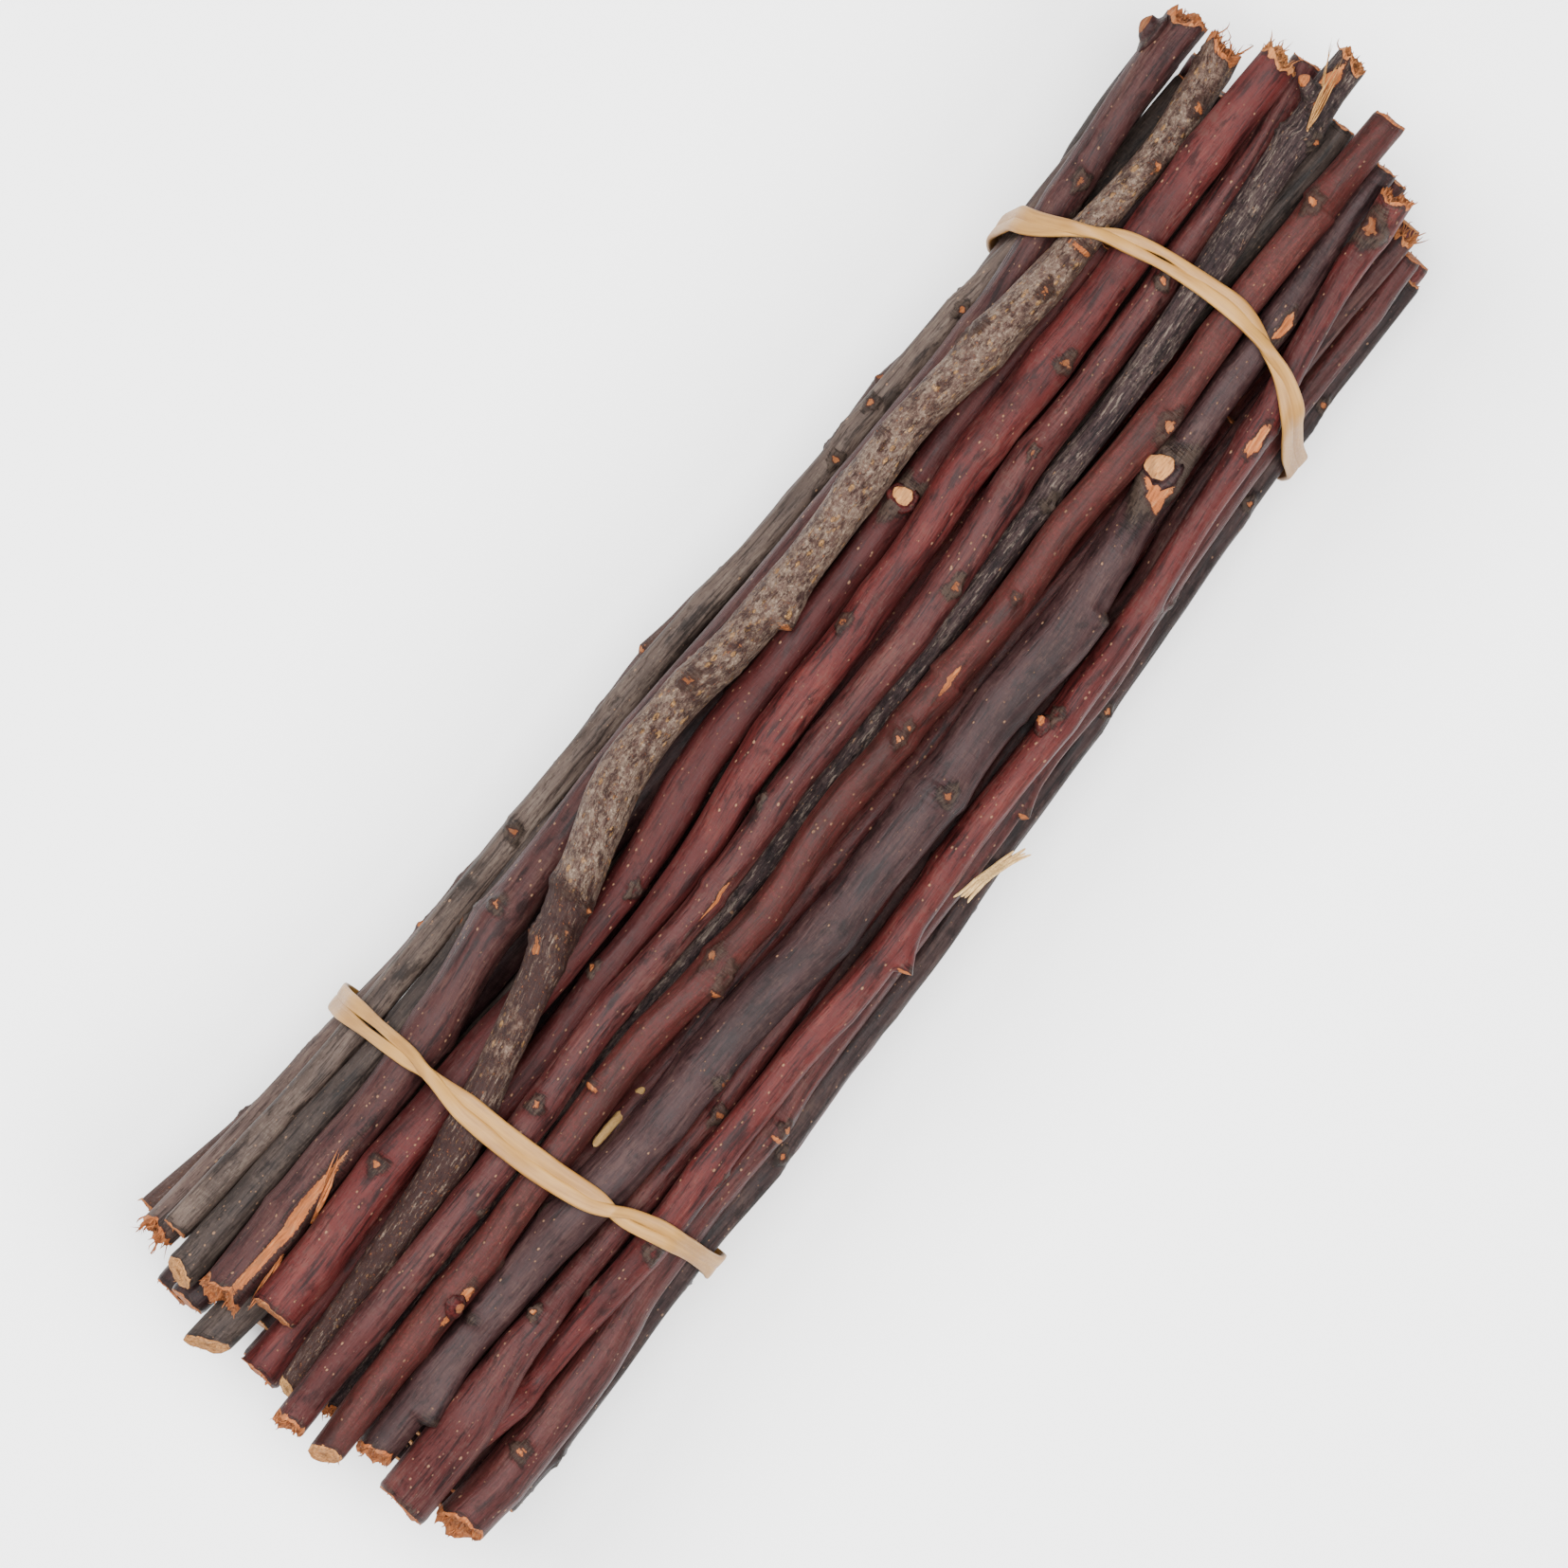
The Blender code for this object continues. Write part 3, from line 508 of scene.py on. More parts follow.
# The kinds of end. Shares of the radius: the rim's slope and unevenness, and the face's
# unevenness and set-back. In mm: the longest splinter, and the bare wood round the rim.
END_KINDS = {
    "cut": {"slope": 0.14, "rim": 0.02, "rough": 0.02, "sink": 0.04, "splinters": 8,
            "longest": 0.3, "bare": 0.12},
    "slant": {"slope": 0.55, "rim": 0.03, "rough": 0.05, "sink": 0.04, "splinters": 16,
              "longest": 0.4, "bare": 0.2},
    "torn": {"slope": 0.36, "rim": 0.09, "rough": 0.22, "sink": 0.22, "splinters": 44,
             "longest": 0.8, "bare": 0.36},
    "frayed": {"slope": 0.30, "rim": 0.11, "rough": 0.24, "sink": 0.22, "splinters": 60,
               "longest": 1.7, "bare": 0.5}}


def add_end(growth, ring, ring_place, sign, radius, kind, tone):
    """Closes a twig's end with a face whose rings shrink to the centre line.

    The face is set back towards its middle, and a torn one is rough: each point moves along
    the twig by chance. Splinters stand on a torn face, and long ones on a frayed one.
    """
    chance = np.random.default_rng(growth.seed * 7 + (sign > 0))
    end = END_KINDS[kind]
    shares = np.array([1.0, 0.95, 0.84, 0.70, 0.55, 0.40, 0.25, 0.12, 0.01])[:, None]
    columns = ring.shape[0]
    middle = ring.mean(axis=0)
    face = middle + (ring[None] - middle) * shares[..., None]
    bumps = chance.normal(0, end["rough"], (len(shares), columns))
    bumps[0] = 0
    bumps[-1] = bumps[-1].mean()
    face[..., 0] -= sign * end["sink"] * radius * (1 - shares ** 2)
    face[..., 0] += sign * bumps * radius / 2
    place = ring_place[None] * [0, 1, 1] * shares[..., None] + [ring_place[0, 0], 0, 0]
    wood = np.ones((len(shares), 1))
    wood[:2] = [[-0.05], [0.6]] if kind == "cut" else [[0.5], [1.0]]
    if sign < 0:
        face, place, wood = face[::-1], place[::-1], wood[::-1]
    growth.add_grid(face, place, wood, tone, caps=(sign < 0, sign > 0))
    count = end["splinters"]
    turn = chance.uniform(0, 2 * math.pi, count)
    far = np.sqrt(chance.uniform(0.25, 0.98, count))
    spot = turn / (2 * math.pi) * columns
    rim = ring[spot.astype(int) % columns]
    start = middle + (rim - middle) * far[:, None]
    start[:, 0] -= sign * 0.25
    reach = 0.3 + end["longest"] * chance.uniform(0, 1, count) ** 2.6
    spray = chance.normal(0, 0.32, (count, 2)) * reach[:, None]
    outward = (start - middle)[:, 1:] / radius * reach[:, None] * 0.25
    tips = start + np.column_stack([sign * reach, spray + outward])
    width = 0.09 + 0.12 * chance.uniform(0, 1, count) ** 1.5 / (0.6 + reach)
    add_fibres(growth, start, tips, width, tone, 0.2)


def end_shift(kind, sign, angle, radius, seed):
    """How far the rim of an end stands out along the twig at each angle round it, in mm.

    The broad part is a cosine that sets the upper side back, so that the face shows from
    above, and cosines of higher multiples of the angle. The fine part is chance alone.
    """
    chance = np.random.default_rng(seed)
    lean = chance.uniform(-0.9, 0.9)
    broad = -END_KINDS[kind]["slope"] * radius * np.cos(angle - lean)
    rough = END_KINDS[kind]["rim"]
    for count in (2, 3, 5):
        broad = broad + rough * radius * np.cos(count * angle + chance.uniform(0, 6))
    fine = chance.normal(0, rough * radius * 0.8, angle.shape)
    return sign * broad, sign * fine


SWELL = 0.035           # share of the radius by which a twig's thickness goes up and down
KINK = 0.16             # mm by which it bends at a knot
HIDDEN_KNOT_GAP = 19.0  # mm between the knots of its underside
EVEN_STEPS = 1200       # of the even rule on which the spacing of its rows is worked out


def grow_twig(node, name, material, seed, knots=(), shoots=(), ends=("cut", "cut"),
              rows=350, columns=34, ridge=0.035, wrinkle=0.0, lead_in=None,
              tones=(0.6, 0.6), crust_and_shade=((-90, 0.0), (100, 0.0)), splinters=(), heels=()):
    """A twig's surface: radius R(s) times 1 + slow lobes, plus ridges, wrinkles and knots.

    s runs along the twig and a round it from straight up towards +Y. Lobes are cos(2a) and
    cos(3a) whose phase wanders with s, ridges are higher multiples of a, and the twig bends a
    little at each knot. Rows lie closer together where the knots, heels and ends are.

    A knot (x, across, length, width, height, bare) is a raised collar around a dish, or a dish
    alone where its height is below 0. Its wood field is above 0 inside, and its scar field is
    highest on the collar. A heel (x, lean, length, height, spread, bare) is a ledge that falls
    steeply on one side of x and slowly over its length on the other. A shoot is (x, lean,
    reach, base, tip, tone, cut). A splinter is x, across and lift at both ends, width, tone.
    For places along the twig, the crust and shade field gives how much of it has a crust on a
    crusted bark, and how much painted shade darkens it on a bark without crust.
    """
    rings = twig_rings(node)
    if lead_in is not None:
        rings = np.vstack([lead_in, rings])
    start, stop = rings[0, 0], rings[-1, 0]
    growth = Growth(seed)
    chance = np.random.default_rng(seed + 500)
    hidden = np.arange(start + chance.uniform(5, 14), stop - 6, HIDDEN_KNOT_GAP)
    hidden = hidden + chance.uniform(-5, 5, len(hidden))
    marks = [(x + FRAME_SHIFT[0], across, *rest) for x, across, *rest in knots]
    marks += [(x, None, 1.5, 1.3, 0.16, 0.7) for x in hidden]
    even = np.linspace(start, stop, EVEN_STEPS)
    weight = np.ones(EVEN_STEPS)
    for x, _, length, *_ in marks:
        weight += 2.0 * bell(even - x, length * 0.7 + 0.4)
    for x, *_ in heels:
        weight += 3.0 * bell(even - x - FRAME_SHIFT[0], 0.9)
    for end in (start, stop):
        weight += 2.0 * bell(even - end, 2.0)
    travelled = np.concatenate([[0], np.cumsum((weight[1:] + weight[:-1]) / 2)])
    s = np.interp(np.linspace(0, travelled[-1], rows), travelled, even)
    route = smooth_route(rings, s)
    joints = np.sort([start, stop] + [mark[0] for mark in marks])
    zigzag = chance.uniform(0.4, 1, len(joints)) * KINK * (-1) ** np.arange(len(joints))
    y = route[:, 0] + 0.06 * wander(seed + 1, s, 9.0) + np.interp(s, joints, zigzag)
    z = route[:, 1] + 0.08 * wander(seed + 2, s, 9.0)
    radius = route[:, 2] * (1 + SWELL * wander(seed + 3, s, 6.0))
    for x, *_ in marks:
        radius = radius * (1 + 0.045 * bell(s - x, 1.9))
    a = turns(columns)
    s2, r2 = s[:, None], radius[:, None]
    relief = np.zeros((rows, columns))
    for count, share in ((2, 0.035), (3, 0.022)):
        phase = 2.5 * wander(seed + 10 + count, s, 16.0)[:, None]
        relief += r2 * share * np.cos(count * a + phase + seed)
    for count, share in ((5, 1.0), (7, 0.8), (9, 0.6), (12, 0.45)):
        phase = 3.0 * wander(seed + 20 + count, s, 11.0)[:, None]
        strength = 0.6 + 0.4 * wander(seed + 40 + count, s, 6.0)[:, None]
        relief += ridge * share * strength * np.cos(count * a + phase)
    if wrinkle:
        sway = 0.5 * np.cos(a + seed) + 0.3 * np.cos(3 * a)
        amount = np.clip(wander(seed + 60, s, 8.0), 0, 1)[:, None] ** 0.5
        relief += wrinkle * amount * np.cos(2 * math.pi * (s2 / 1.1 + sway)
                                            + 2.0 * wander(seed + 61, s, 2.0)[:, None])
    wood = np.full((rows, columns), -3.0)
    tone = np.full((rows, columns), 0.25)
    scar = np.zeros((rows, columns))
    for x, across, length, width, height, bare in marks:
        centre_y, centre_r = np.interp(x, s, y), np.interp(x, s, radius)
        if across is None:
            lean = math.pi + chance.uniform(-1.7, 1.7)
        else:
            off = (across + FRAME_SHIFT[1] - centre_y) / centre_r
            lean = math.asin(np.clip(off, -0.98, 0.98))
        du = (s2 - x) / (length / 2)
        turn = (a - lean + math.pi) % (2 * math.pi) - math.pi
        dv = turn * centre_r / (width / 2)
        bearing = np.arctan2(dv, du)
        away = np.hypot(du, dv) * (1 + 0.16 * np.cos(3 * bearing + x)
                                   + 0.12 * np.cos(5 * bearing + 2 * x))
        higher = 1 + 0.55 * np.cos(bearing + 3 * x) + 0.3 * np.cos(2 * bearing + x)
        if height >= 0:
            relief += height * (bell(away - 0.85, 0.38) * higher + 0.6 * bell(away, 2.0))
            relief -= height * 0.5 * bell(away, 0.45)
            folds = 0.05 * np.cos(7.0 * (s2 - x) + 0.8 * np.cos(3 * a + x))
            relief += folds * bell(away, 2.4)
            scar = np.maximum(scar, bell(away - 1.0, 0.75))
            core = 0.62
        else:
            relief += height * np.clip(1.15 - away, 0, 1) ** 0.7
            scar = np.maximum(scar, 0.6 * bell(away - 1.1, 0.4))
            core = 1.0
        if bare:
            torn = 0.10 * np.cos(2 * bearing + 5 * x) + 0.08 * np.cos(5 * bearing + x)
            wood = np.maximum(wood, (core - 0.10 - away + torn) * 1.4 * bare)
        tone = np.where(away < 1.6, 0.10 + 0.22 * (bare > 0.9) + 0.2 * (height < 0), tone)
    for x, lean, length, height, spread, bare in heels:
        t = (s2 - x - FRAME_SHIFT[0]) / length
        gentle = np.clip(1 - t, 0, 1) ** 1.7
        steep = np.clip(1 + t * abs(length) / 0.7, 0, 1) ** 0.7
        turn = (a - math.radians(lean) + math.pi) % (2 * math.pi) - math.pi
        side_fall = np.exp(-(turn / spread) ** 2 * (1 + 1.5 * np.clip(1 - t, 0, 1)) / 2)
        relief += height * np.where(t >= 0, gentle, steep) * side_fall
        brink = bell(t * abs(length) + 0.3, 0.32) * bell(turn, spread)
        wood = np.maximum(wood, (brink - 0.45) * 1.6 * bare - (bare == 0) * 3)
        tone = np.where(brink > 0.2, 0.35, tone)
        scar = np.maximum(scar, 0.8 * bell(t * abs(length), 1.0) * side_fall)
    shift = np.zeros((rows, columns))
    shrink = np.ones(rows)
    for side, kind in enumerate(ends):
        sign, end, end_radius = ((-1, start, radius[0]), (1, stop, radius[-1]))[side]
        near = np.abs(s - end)
        broad, fine = end_shift(kind, sign, a, end_radius, seed + 70 + side)
        shift += np.clip(1 - near / (3.0 * end_radius), 0, 1)[:, None] ** 2 * broad
        shift += np.clip(1 - near / 0.6, 0, 1)[:, None] * fine
        if kind in ("cut", "slant"):
            shrink = shrink * (1 - 0.07 * bell(near, 0.3))
        frill = 0.5 * np.cos(5 * a + seed) + 0.5 * np.cos(9 * a + 2) + 0.3 * np.cos(14 * a)
        bare = END_KINDS[kind]["bare"] * (1 + 0.8 * frill).clip(0.15, 3)
        rim = 1 - near[:, None] / bare
        wood = np.maximum(wood, np.clip(rim, -3, 1))
        tone = np.where(near[:, None] < 2.0, tones[side], tone)
        scar = np.maximum(scar, 0.55 * bell(near, 1.1)[:, None])
    skin = r2 * shrink[:, None] + relief
    points = np.stack([s2 + shift, y[:, None] + skin * np.sin(a), z[:, None] + skin * np.cos(a)],
                      axis=-1)
    place = np.stack([s2 + 0 * a, r2 * np.cos(a), r2 * np.sin(a)], axis=-1)
    crust_and_shade_x, crust_and_shade_y = np.array(crust_and_shade).T
    crust_and_shade_along = np.interp(s, crust_and_shade_x + FRAME_SHIFT[0], crust_and_shade_y)[:, None]
    growth.add_grid(points, place, wood, tone, scar, crust_and_shade_along, caps=(False, False))
    for x0, across0, lift0, x1, across1, lift1, width, splinter_tone in splinters:
        spots = []
        for x, across, lift in ((x0, across0, lift0), (x1, across1, lift1)):
            x, across = x + FRAME_SHIFT[0], across + FRAME_SHIFT[1]
            off = across - np.interp(x, s, y)
            rise = math.sqrt(max(np.interp(x, s, radius) ** 2 - off ** 2, 0.2))
            spots.append([x, across, np.interp(x, s, z) + rise + lift])
        spots = np.array(spots)
        count = 5
        spread = chance.normal(0, 1, (2, count, 3)) * [0.5, 0.22, 0.12]
        add_fibres(growth, spots[0] + spread[0] * 0.4, spots[1] + spread[1],
                   width * chance.uniform(0.4, 1, count), splinter_tone, 0.05)
    add_end(growth, points[0], place[0], -1, radius[0], ends[0], tones[0])
    add_end(growth, points[-1], place[-1], 1, radius[-1], ends[1], tones[1])
    for x, lean, reach, base, tip, stub_tone, cut in shoots:
        x = x + FRAME_SHIFT[0]
        lean = math.radians(lean)
        out = np.array([0, math.sin(lean), math.cos(lean)])
        centre = np.array([x, np.interp(x, s, y), np.interp(x, s, z)])
        root = centre + np.interp(x, s, radius) * out
        add_shoot(growth, root, out, np.array([1.0, 0, 0]), reach, base, tip, stub_tone, cut)
    growth.make(name, material, node)


red = bark("bark_red", (0.015, 0.0035, 0.0035), (0.05, 0.0085, 0.0078), (0.094, 0.0215, 0.0175))
# The crust and shade values below paint shade along the middle of this twig, darkening its bark.
grow_twig("twig_bright_red", "bright_red_twig", red, 3,
          crust_and_shade=((-60, 0.0), (-40, 0.7), (0, 0.9), (55, 0.9), (72, 0.0)),
          knots=[(-56.5, 10.2, 1.5, 1.5, 0.18, 1), (-17.5, 6.9, 1.4, 1.2, 0.15, 0),
                 (32.0, 10.4, 3.4, 2.6, 0.15, 0)], shoots=[(32.0, 12, 0.5, 1.1, 1.1, 0.76, 1)])
# The crust and shade values below paint shade over the left half of this twig, darkening its bark.
grow_twig("twig_red_upper", "red_upper_twig", red, 4, ends=("cut", "frayed"),
          tones=(0.5, 0.66), crust_and_shade=((-70, 0.2), (-42, 0.8), (-15, 0.7), (5, 0.0)),
          knots=[(-26.5, 5.3, 1.3, 1.2, 0.15, 1), (18.0, 7.1, 1.6, 1.2, 0.18, 0.6),
                 (53.5, 5.7, 2.0, 1.4, 0.2, 0.5)])
grow_twig("twig_red_lower", "red_lower_twig", red, 5, ends=("slant", "cut"),
          tones=(0.75, 0.3),
          knots=[(-17.8, -3.6, 2.4, 1.1, 0.06, 0.7), (-62.5, -5.6, 5.0, 1.5, -0.25, 1),
                 (12.0, -5.0, 1.3, 1.1, 0.15, 1), (13.6, -5.0, 1.0, 0.8, 0.1, 1),
                 (20.0, -5.3, 4.0, 0.35, -0.05, 0.8), (31.0, -5.5, 1.0, 0.8, 0.08, 0.5),
                 (55.0, -6.8, 3.0, 1.5, 0.25, 1), (82.5, -4.2, 2.0, 1.4, 0.2, 1),
                 (-18.5, -6.2, 2.4, 1.2, 0.25, 0)], shoots=[(-63.0, -40, 0.6, 0.9, 0.6, 0.1, 1)],
          heels=[(-36.0, 40, 4.5, 0.8, 0.5, 0.4), (-20.5, -70, 4, 0.6, 0.6, 0.3)])

stem_rings = twig_rings("twig_forked_stem")
branch_start = twig_rings("twig_side_branch")[0]
root_places = np.array([-86.0, -81.0, -76.0, -73.5])
root = smooth_route(stem_rings, root_places)[:, :2]
drift = np.array([0.12, 0.35, 0.68, 0.86])[:, None]
root = root + drift * (branch_start[1:3] - smooth_route(stem_rings, branch_start[:1])[:, :2])
fork_root = np.column_stack([root_places, root, [1.3, 1.7, 2.0, 2.05]])
grow_twig("twig_side_branch", "side_branch", red, 6, ends=("cut", "torn"),
          tones=(0.4, 0.55),
          knots=[(-46.0, -18.2, 1.8, 1.4, 0.2, 0), (24.2, -16.4, 1.5, 1.1, 0.25, 0),
                 (59.5, -15.1, 4.2, 1.5, -0.2, 1), (84.3, -10.6, 3.4, 2.2, 0.35, 0.8)],
          shoots=[(22.5, 40, 0.7, 0.8, 0.5, 0.45, 0)],
          heels=[(-6.5, -80, 5, 2.0, 0.45, 1), (-44.5, 30, 4, 0.5, 0.5, 0)], lead_in=fork_root)


# The dark red twigs: older shoots of the same shrub, browner and duller, with streaks. One of
# them is the stem from which the side branch above grows.
dark_red = bark("bark_red_brown", (0.011, 0.0036, 0.0036), (0.038, 0.0088, 0.0082),
                (0.07, 0.0215, 0.018), gloss=(0.38, 0.62), streaks=0.65)
grow_twig("twig_red_centre", "red_centre_twig", dark_red, 11,
          ends=("torn", "cut"), tones=(0.5, 0.4),
          knots=[(-41.3, 1.1, 1.5, 1.3, 0.2, 1), (-2.0, 2.4, 1.3, 1.0, 0.25, 0),
                 (28.0, 0.3, 2.0, 1.2, 0.2, 0.8), (66.5, 3.0, 1.4, 1.2, 0.18, 1),
                 (44.0, 2.6, 1.2, 0.7, 0.05, 0.7), (-13.0, -0.6, 6.0, 0.5, -0.08, 1)])
grow_twig("twig_forked_stem", "forked_stem", dark_red, 12, tones=(0.4, 0.4),
          knots=[(-58.5, -12.2, 1.3, 1.1, 0.2, 1), (-30.5, -14.6, 1.6, 1.2, 0.2, 0.5)],
          wrinkle=0.02)
grow_twig("twig_edge_red", "edge_red_twig", dark_red, 13, ends=("torn", "cut"),
          tones=(0.45, 0.4),
          knots=[(-71.0, -20.2, 1.6, 1.4, 0.2, 1), (-27.3, -21.0, 1.4, 1.2, 0.2, 1)],
          heels=[(14.0, -65, 4, 1.0, 0.5, 1), (-28.5, -40, 4, 0.5, 0.5, 0.5)])
grow_twig("twig_red_end", "red_end_twig", dark_red, 15)


# The stout twig, the thickest one on top, and a purple one under it: smooth purple-grey bark
# with a faint bloom. The stout one has a big round cut where a side shoot was pruned, a torn
# patch beside it, and ledges along its sides.
purple = bark("bark_purple", (0.0085, 0.004, 0.0042), (0.0225, 0.0095, 0.0095),
              (0.042, 0.0215, 0.02), gloss=(0.36, 0.56), streaks=0.5, film_share=0.35,
              dot_size=0.12)
grow_twig("twig_smooth_stout", "smooth_stout_twig", purple, 21,
          ends=("torn", "cut"), tones=(0.45, 0.6),
          knots=[(-27.5, -12.7, 1.7, 1.5, 0.2, 0.8), (10.5, -12.7, 1.8, 1.5, 0.2, 0.7),
                 (50.4, -9.2, 6.0, 4.4, 0.35, 0), (49.0, -10.1, 3.8, 3.0, -0.12, 1),
                 (70.7, -10.0, 3.4, 1.5, -0.2, 1)], shoots=[(50.8, 22, 0.7, 1.5, 1.6, 0.76, 1)],
          heels=[(-74.2, -58, 9, 1.6, 0.6, 0), (35.0, -75, -10, 0.8, 0.7, 0),
                 (-63.0, 30, 4, 0.5, 0.6, 0)])
grow_twig("twig_purple_end", "purple_end_twig", purple, 22)


# The lichen twig: it lies on top of the others and bends across them. Its purple-black bark is
# dotted with ochre on the left, and under a grey lichen crust on the right.
lichen = bark("bark_lichen", (0.0075, 0.005, 0.0058), (0.0175, 0.011, 0.0112), (0.07, 0.05, 0.042),
              dots=(0.36, 0.195, 0.075), dot_size=0.22, film=(0.095, 0.07, 0.056),
              gloss=(0.5, 0.78), crust=((0.275, 0.205, 0.15), (0.095, 0.062, 0.049)), depth=0.24)
grow_twig("twig_lichen", "lichen_twig", lichen, 31, ends=("slant", "frayed"),
          tones=(0.95, 0.5),
          crust_and_shade=((-43, 0.1), (-40, 0.6), (-36, 0.6), (-33, 0.1), (-24, 0.1), (-20, 0.95),
                 (10, 0.8), (25, 1.0), (90, 0.9)), ridge=0.04, wrinkle=0.045,
          knots=[(3.2, 16.0, 1.8, 1.2, 0.2, 0.5), (58.0, 11.9, 1.4, 1.2, 0.2, 1),
                 (51.0, 15.2, 1.6, 1.2, 0.2, 0), (-25.3, 9.6, 1.2, 1.0, 0.2, 0.4),
                 (-22.0, 9.6, 1.2, 1.0, 0.2, 0.4), (-28.3, 11.3, 2.4, 0.8, -0.1, 0.9),
                 (75.5, 10.9, 1.4, 1.1, 0.15, 1), (83.0, 11.3, 1.5, 1.2, 0.18, 1)],
          heels=[(14.0, -72, 6, 1.2, 0.55, 0.2), (-21.9, 60, 2.5, 0.4, 3.0, 0),
                 (64.0, -20, 5, 0.5, 0.8, 0.3), (36.0, 50, 6, 0.4, 0.8, 0)])


# The rough twig: cracked dark bark with light grey streaks. It was broken off at a fork on the
# right, which left a torn hollow, a stub and two long splinters.
rough = bark("bark_rough", (0.0085, 0.0052, 0.0056), (0.0215, 0.0118, 0.0118), (0.08, 0.06, 0.05),
             film=(0.085, 0.066, 0.053), gloss=(0.55, 0.8), streaks=0.8,
             crust=((0.15, 0.116, 0.092), (0.03, 0.018, 0.017)), scuff_share=0.5, depth=0.26)
grow_twig("twig_rough_bark", "rough_bark_twig", rough, 41, ends=("torn", "torn"),
          tones=(0.5, 0.62), ridge=0.07, wrinkle=0.03,
          knots=[(41.0, -2.2, 1.6, 1.2, 0.2, 0), (87.5, -0.4, 1.6, 1.2, 0.25, 1),
                 (92.8, 2.2, 6.5, 1.7, -0.25, 1)], shoots=[(91.4, 60, 1.3, 1.0, 0.85, 0.45, 1)],
          splinters=[(88.0, 1.0, 0.0, 95.5, 2.6, 1.0, 0.16, 0.9),
                     (91.0, 1.8, 0.0, 97.2, 4.6, 1.2, 0.1, 1.0)])


# The brown, grey and dark twigs along the bundle's edges and below the red ones: older wood
# with dull, weathered bark. The split-end twig has a long torn strip at its left end.
brown = bark("bark_brown", (0.01, 0.0046, 0.0046), (0.029, 0.0092, 0.0086), (0.054, 0.024, 0.019),
             gloss=(0.42, 0.66), streaks=0.65)
weathered = bark("bark_weathered", (0.017, 0.0105, 0.0092), (0.057, 0.036, 0.03),
                 (0.11, 0.079, 0.066), film=(0.098, 0.07, 0.056), gloss=(0.5, 0.72), streaks=0.65)
grey = bark("bark_grey", (0.017, 0.0115, 0.0096), (0.056, 0.0385, 0.031), (0.108, 0.081, 0.065),
            film=(0.1, 0.076, 0.061), gloss=(0.5, 0.72), streaks=0.65)
slate = bark("bark_slate", (0.0085, 0.0062, 0.0054), (0.024, 0.0165, 0.014), (0.056, 0.041, 0.034),
             film=(0.062, 0.046, 0.037), gloss=(0.5, 0.72), streaks=0.65)
dark = bark("bark_dark", (0.0065, 0.004, 0.004), (0.018, 0.0095, 0.009), (0.038, 0.023, 0.0195),
            gloss=(0.42, 0.68), streaks=0.6)
grow_twig("twig_split_end", "split_end_twig", brown, 51, ends=("torn", "torn"),
          tones=(0.35, 0.45),
          knots=[(-67.5, 13.2, 19.5, 1.9, -0.5, 1), (-27.5, 17.3, 1.6, 1.4, 0.2, 1),
                 (69.5, 16.2, 1.6, 1.3, 0.2, 0.4)],
          splinters=[(-65.5, 11.9, 0.1, -58.0, 14.2, 0.5, 0.42, 0.45),
                     (-70.0, 12.2, 0.0, -76.5, 11.2, 0.2, 0.3, 0.4)],
          shoots=[(86.3, 80, 1.0, 1.5, 1.15, 0.1, 1)])
grow_twig("twig_edge_brown", "edge_brown_twig", weathered, 52,
          ends=("frayed", "cut"), tones=(0.5, 0.4))
grow_twig("twig_edge_dark_red", "edge_dark_red_twig", weathered, 14,
          knots=[(-34.5, 22.4, 1.6, 1.3, 0.2, 1), (41.0, 20.1, 1.4, 1.2, 0.2, 0.8)],
          heels=[(3.0, 75, 5, 0.5, 0.6, 0.2)])
grow_twig("twig_torn_tip", "torn_tip_twig", brown, 53, ends=("cut", "frayed"),
          tones=(0.5, 0.6))
grow_twig("twig_edge_grey", "edge_grey_twig", grey, 54,
          knots=[(-20.7, 20.7, 1.5, 1.4, 0.2, 0.8), (31.0, 18.4, 1.4, 1.2, 0.15, 1),
                 (38.0, 19.2, 1.4, 1.2, 0.15, 1), (51.5, 17.7, 1.4, 1.2, 0.15, 1)])
for number, (node, name) in enumerate((("twig_slate", "slate_twig"),
                                       ("twig_grey_slant", "grey_slant_twig"),
                                       ("twig_grey_green", "grey_green_twig"))):
    grow_twig(node, name, slate, 55 + number, ends=("slant", "cut"),
              tones=(0.8, 0.5))
grow_twig("twig_edge_dark", "edge_dark_twig", dark, 58,
          knots=[(-30.0, -22.6, 1.4, 1.2, 0.2, 1), (28.0, -20.4, 1.3, 1.1, 0.2, 1),
                 (54.5, -18.6, 1.3, 1.1, 0.2, 1), (67.5, -18.3, 1.3, 1.1, 0.2, 1)])


# The inner twigs: plain cut shoots that fill the bundle under the ones that show, in the same
# five barks. Only their ends and undersides can be seen, so their grids are coarser.
barks = {"bark_red": red, "bark_red_brown": dark_red, "bark_purple": purple,
         "bark_brown": brown, "bark_grey": slate}
slots = {part["node"]: part["material_slot"] for part in frame["record"]["subparts"]}
for number in range(1, 29):
    node = f"twig_inner_{number:02d}"
    chance = np.random.default_rng(200 + number)
    grow_twig(node, f"inner_twig_{number:02d}", barks[slots[node]],
              100 + number, rows=170, columns=20, tones=tuple(chance.uniform(0.3, 0.85, 2)))


# The rubber bands: each is one long flat tan band wound twice round the bundle, so two strands
# lie side by side, cross over each other near the top, and spread under the bundle.
BAND_THICKNESS = 0.9    # mm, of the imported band
STRAND_THICKNESS = 0.62
LOWER_WIDTH = 3.2       # mm, of both strands together away from the top
LOWER_STRAND = 1.7


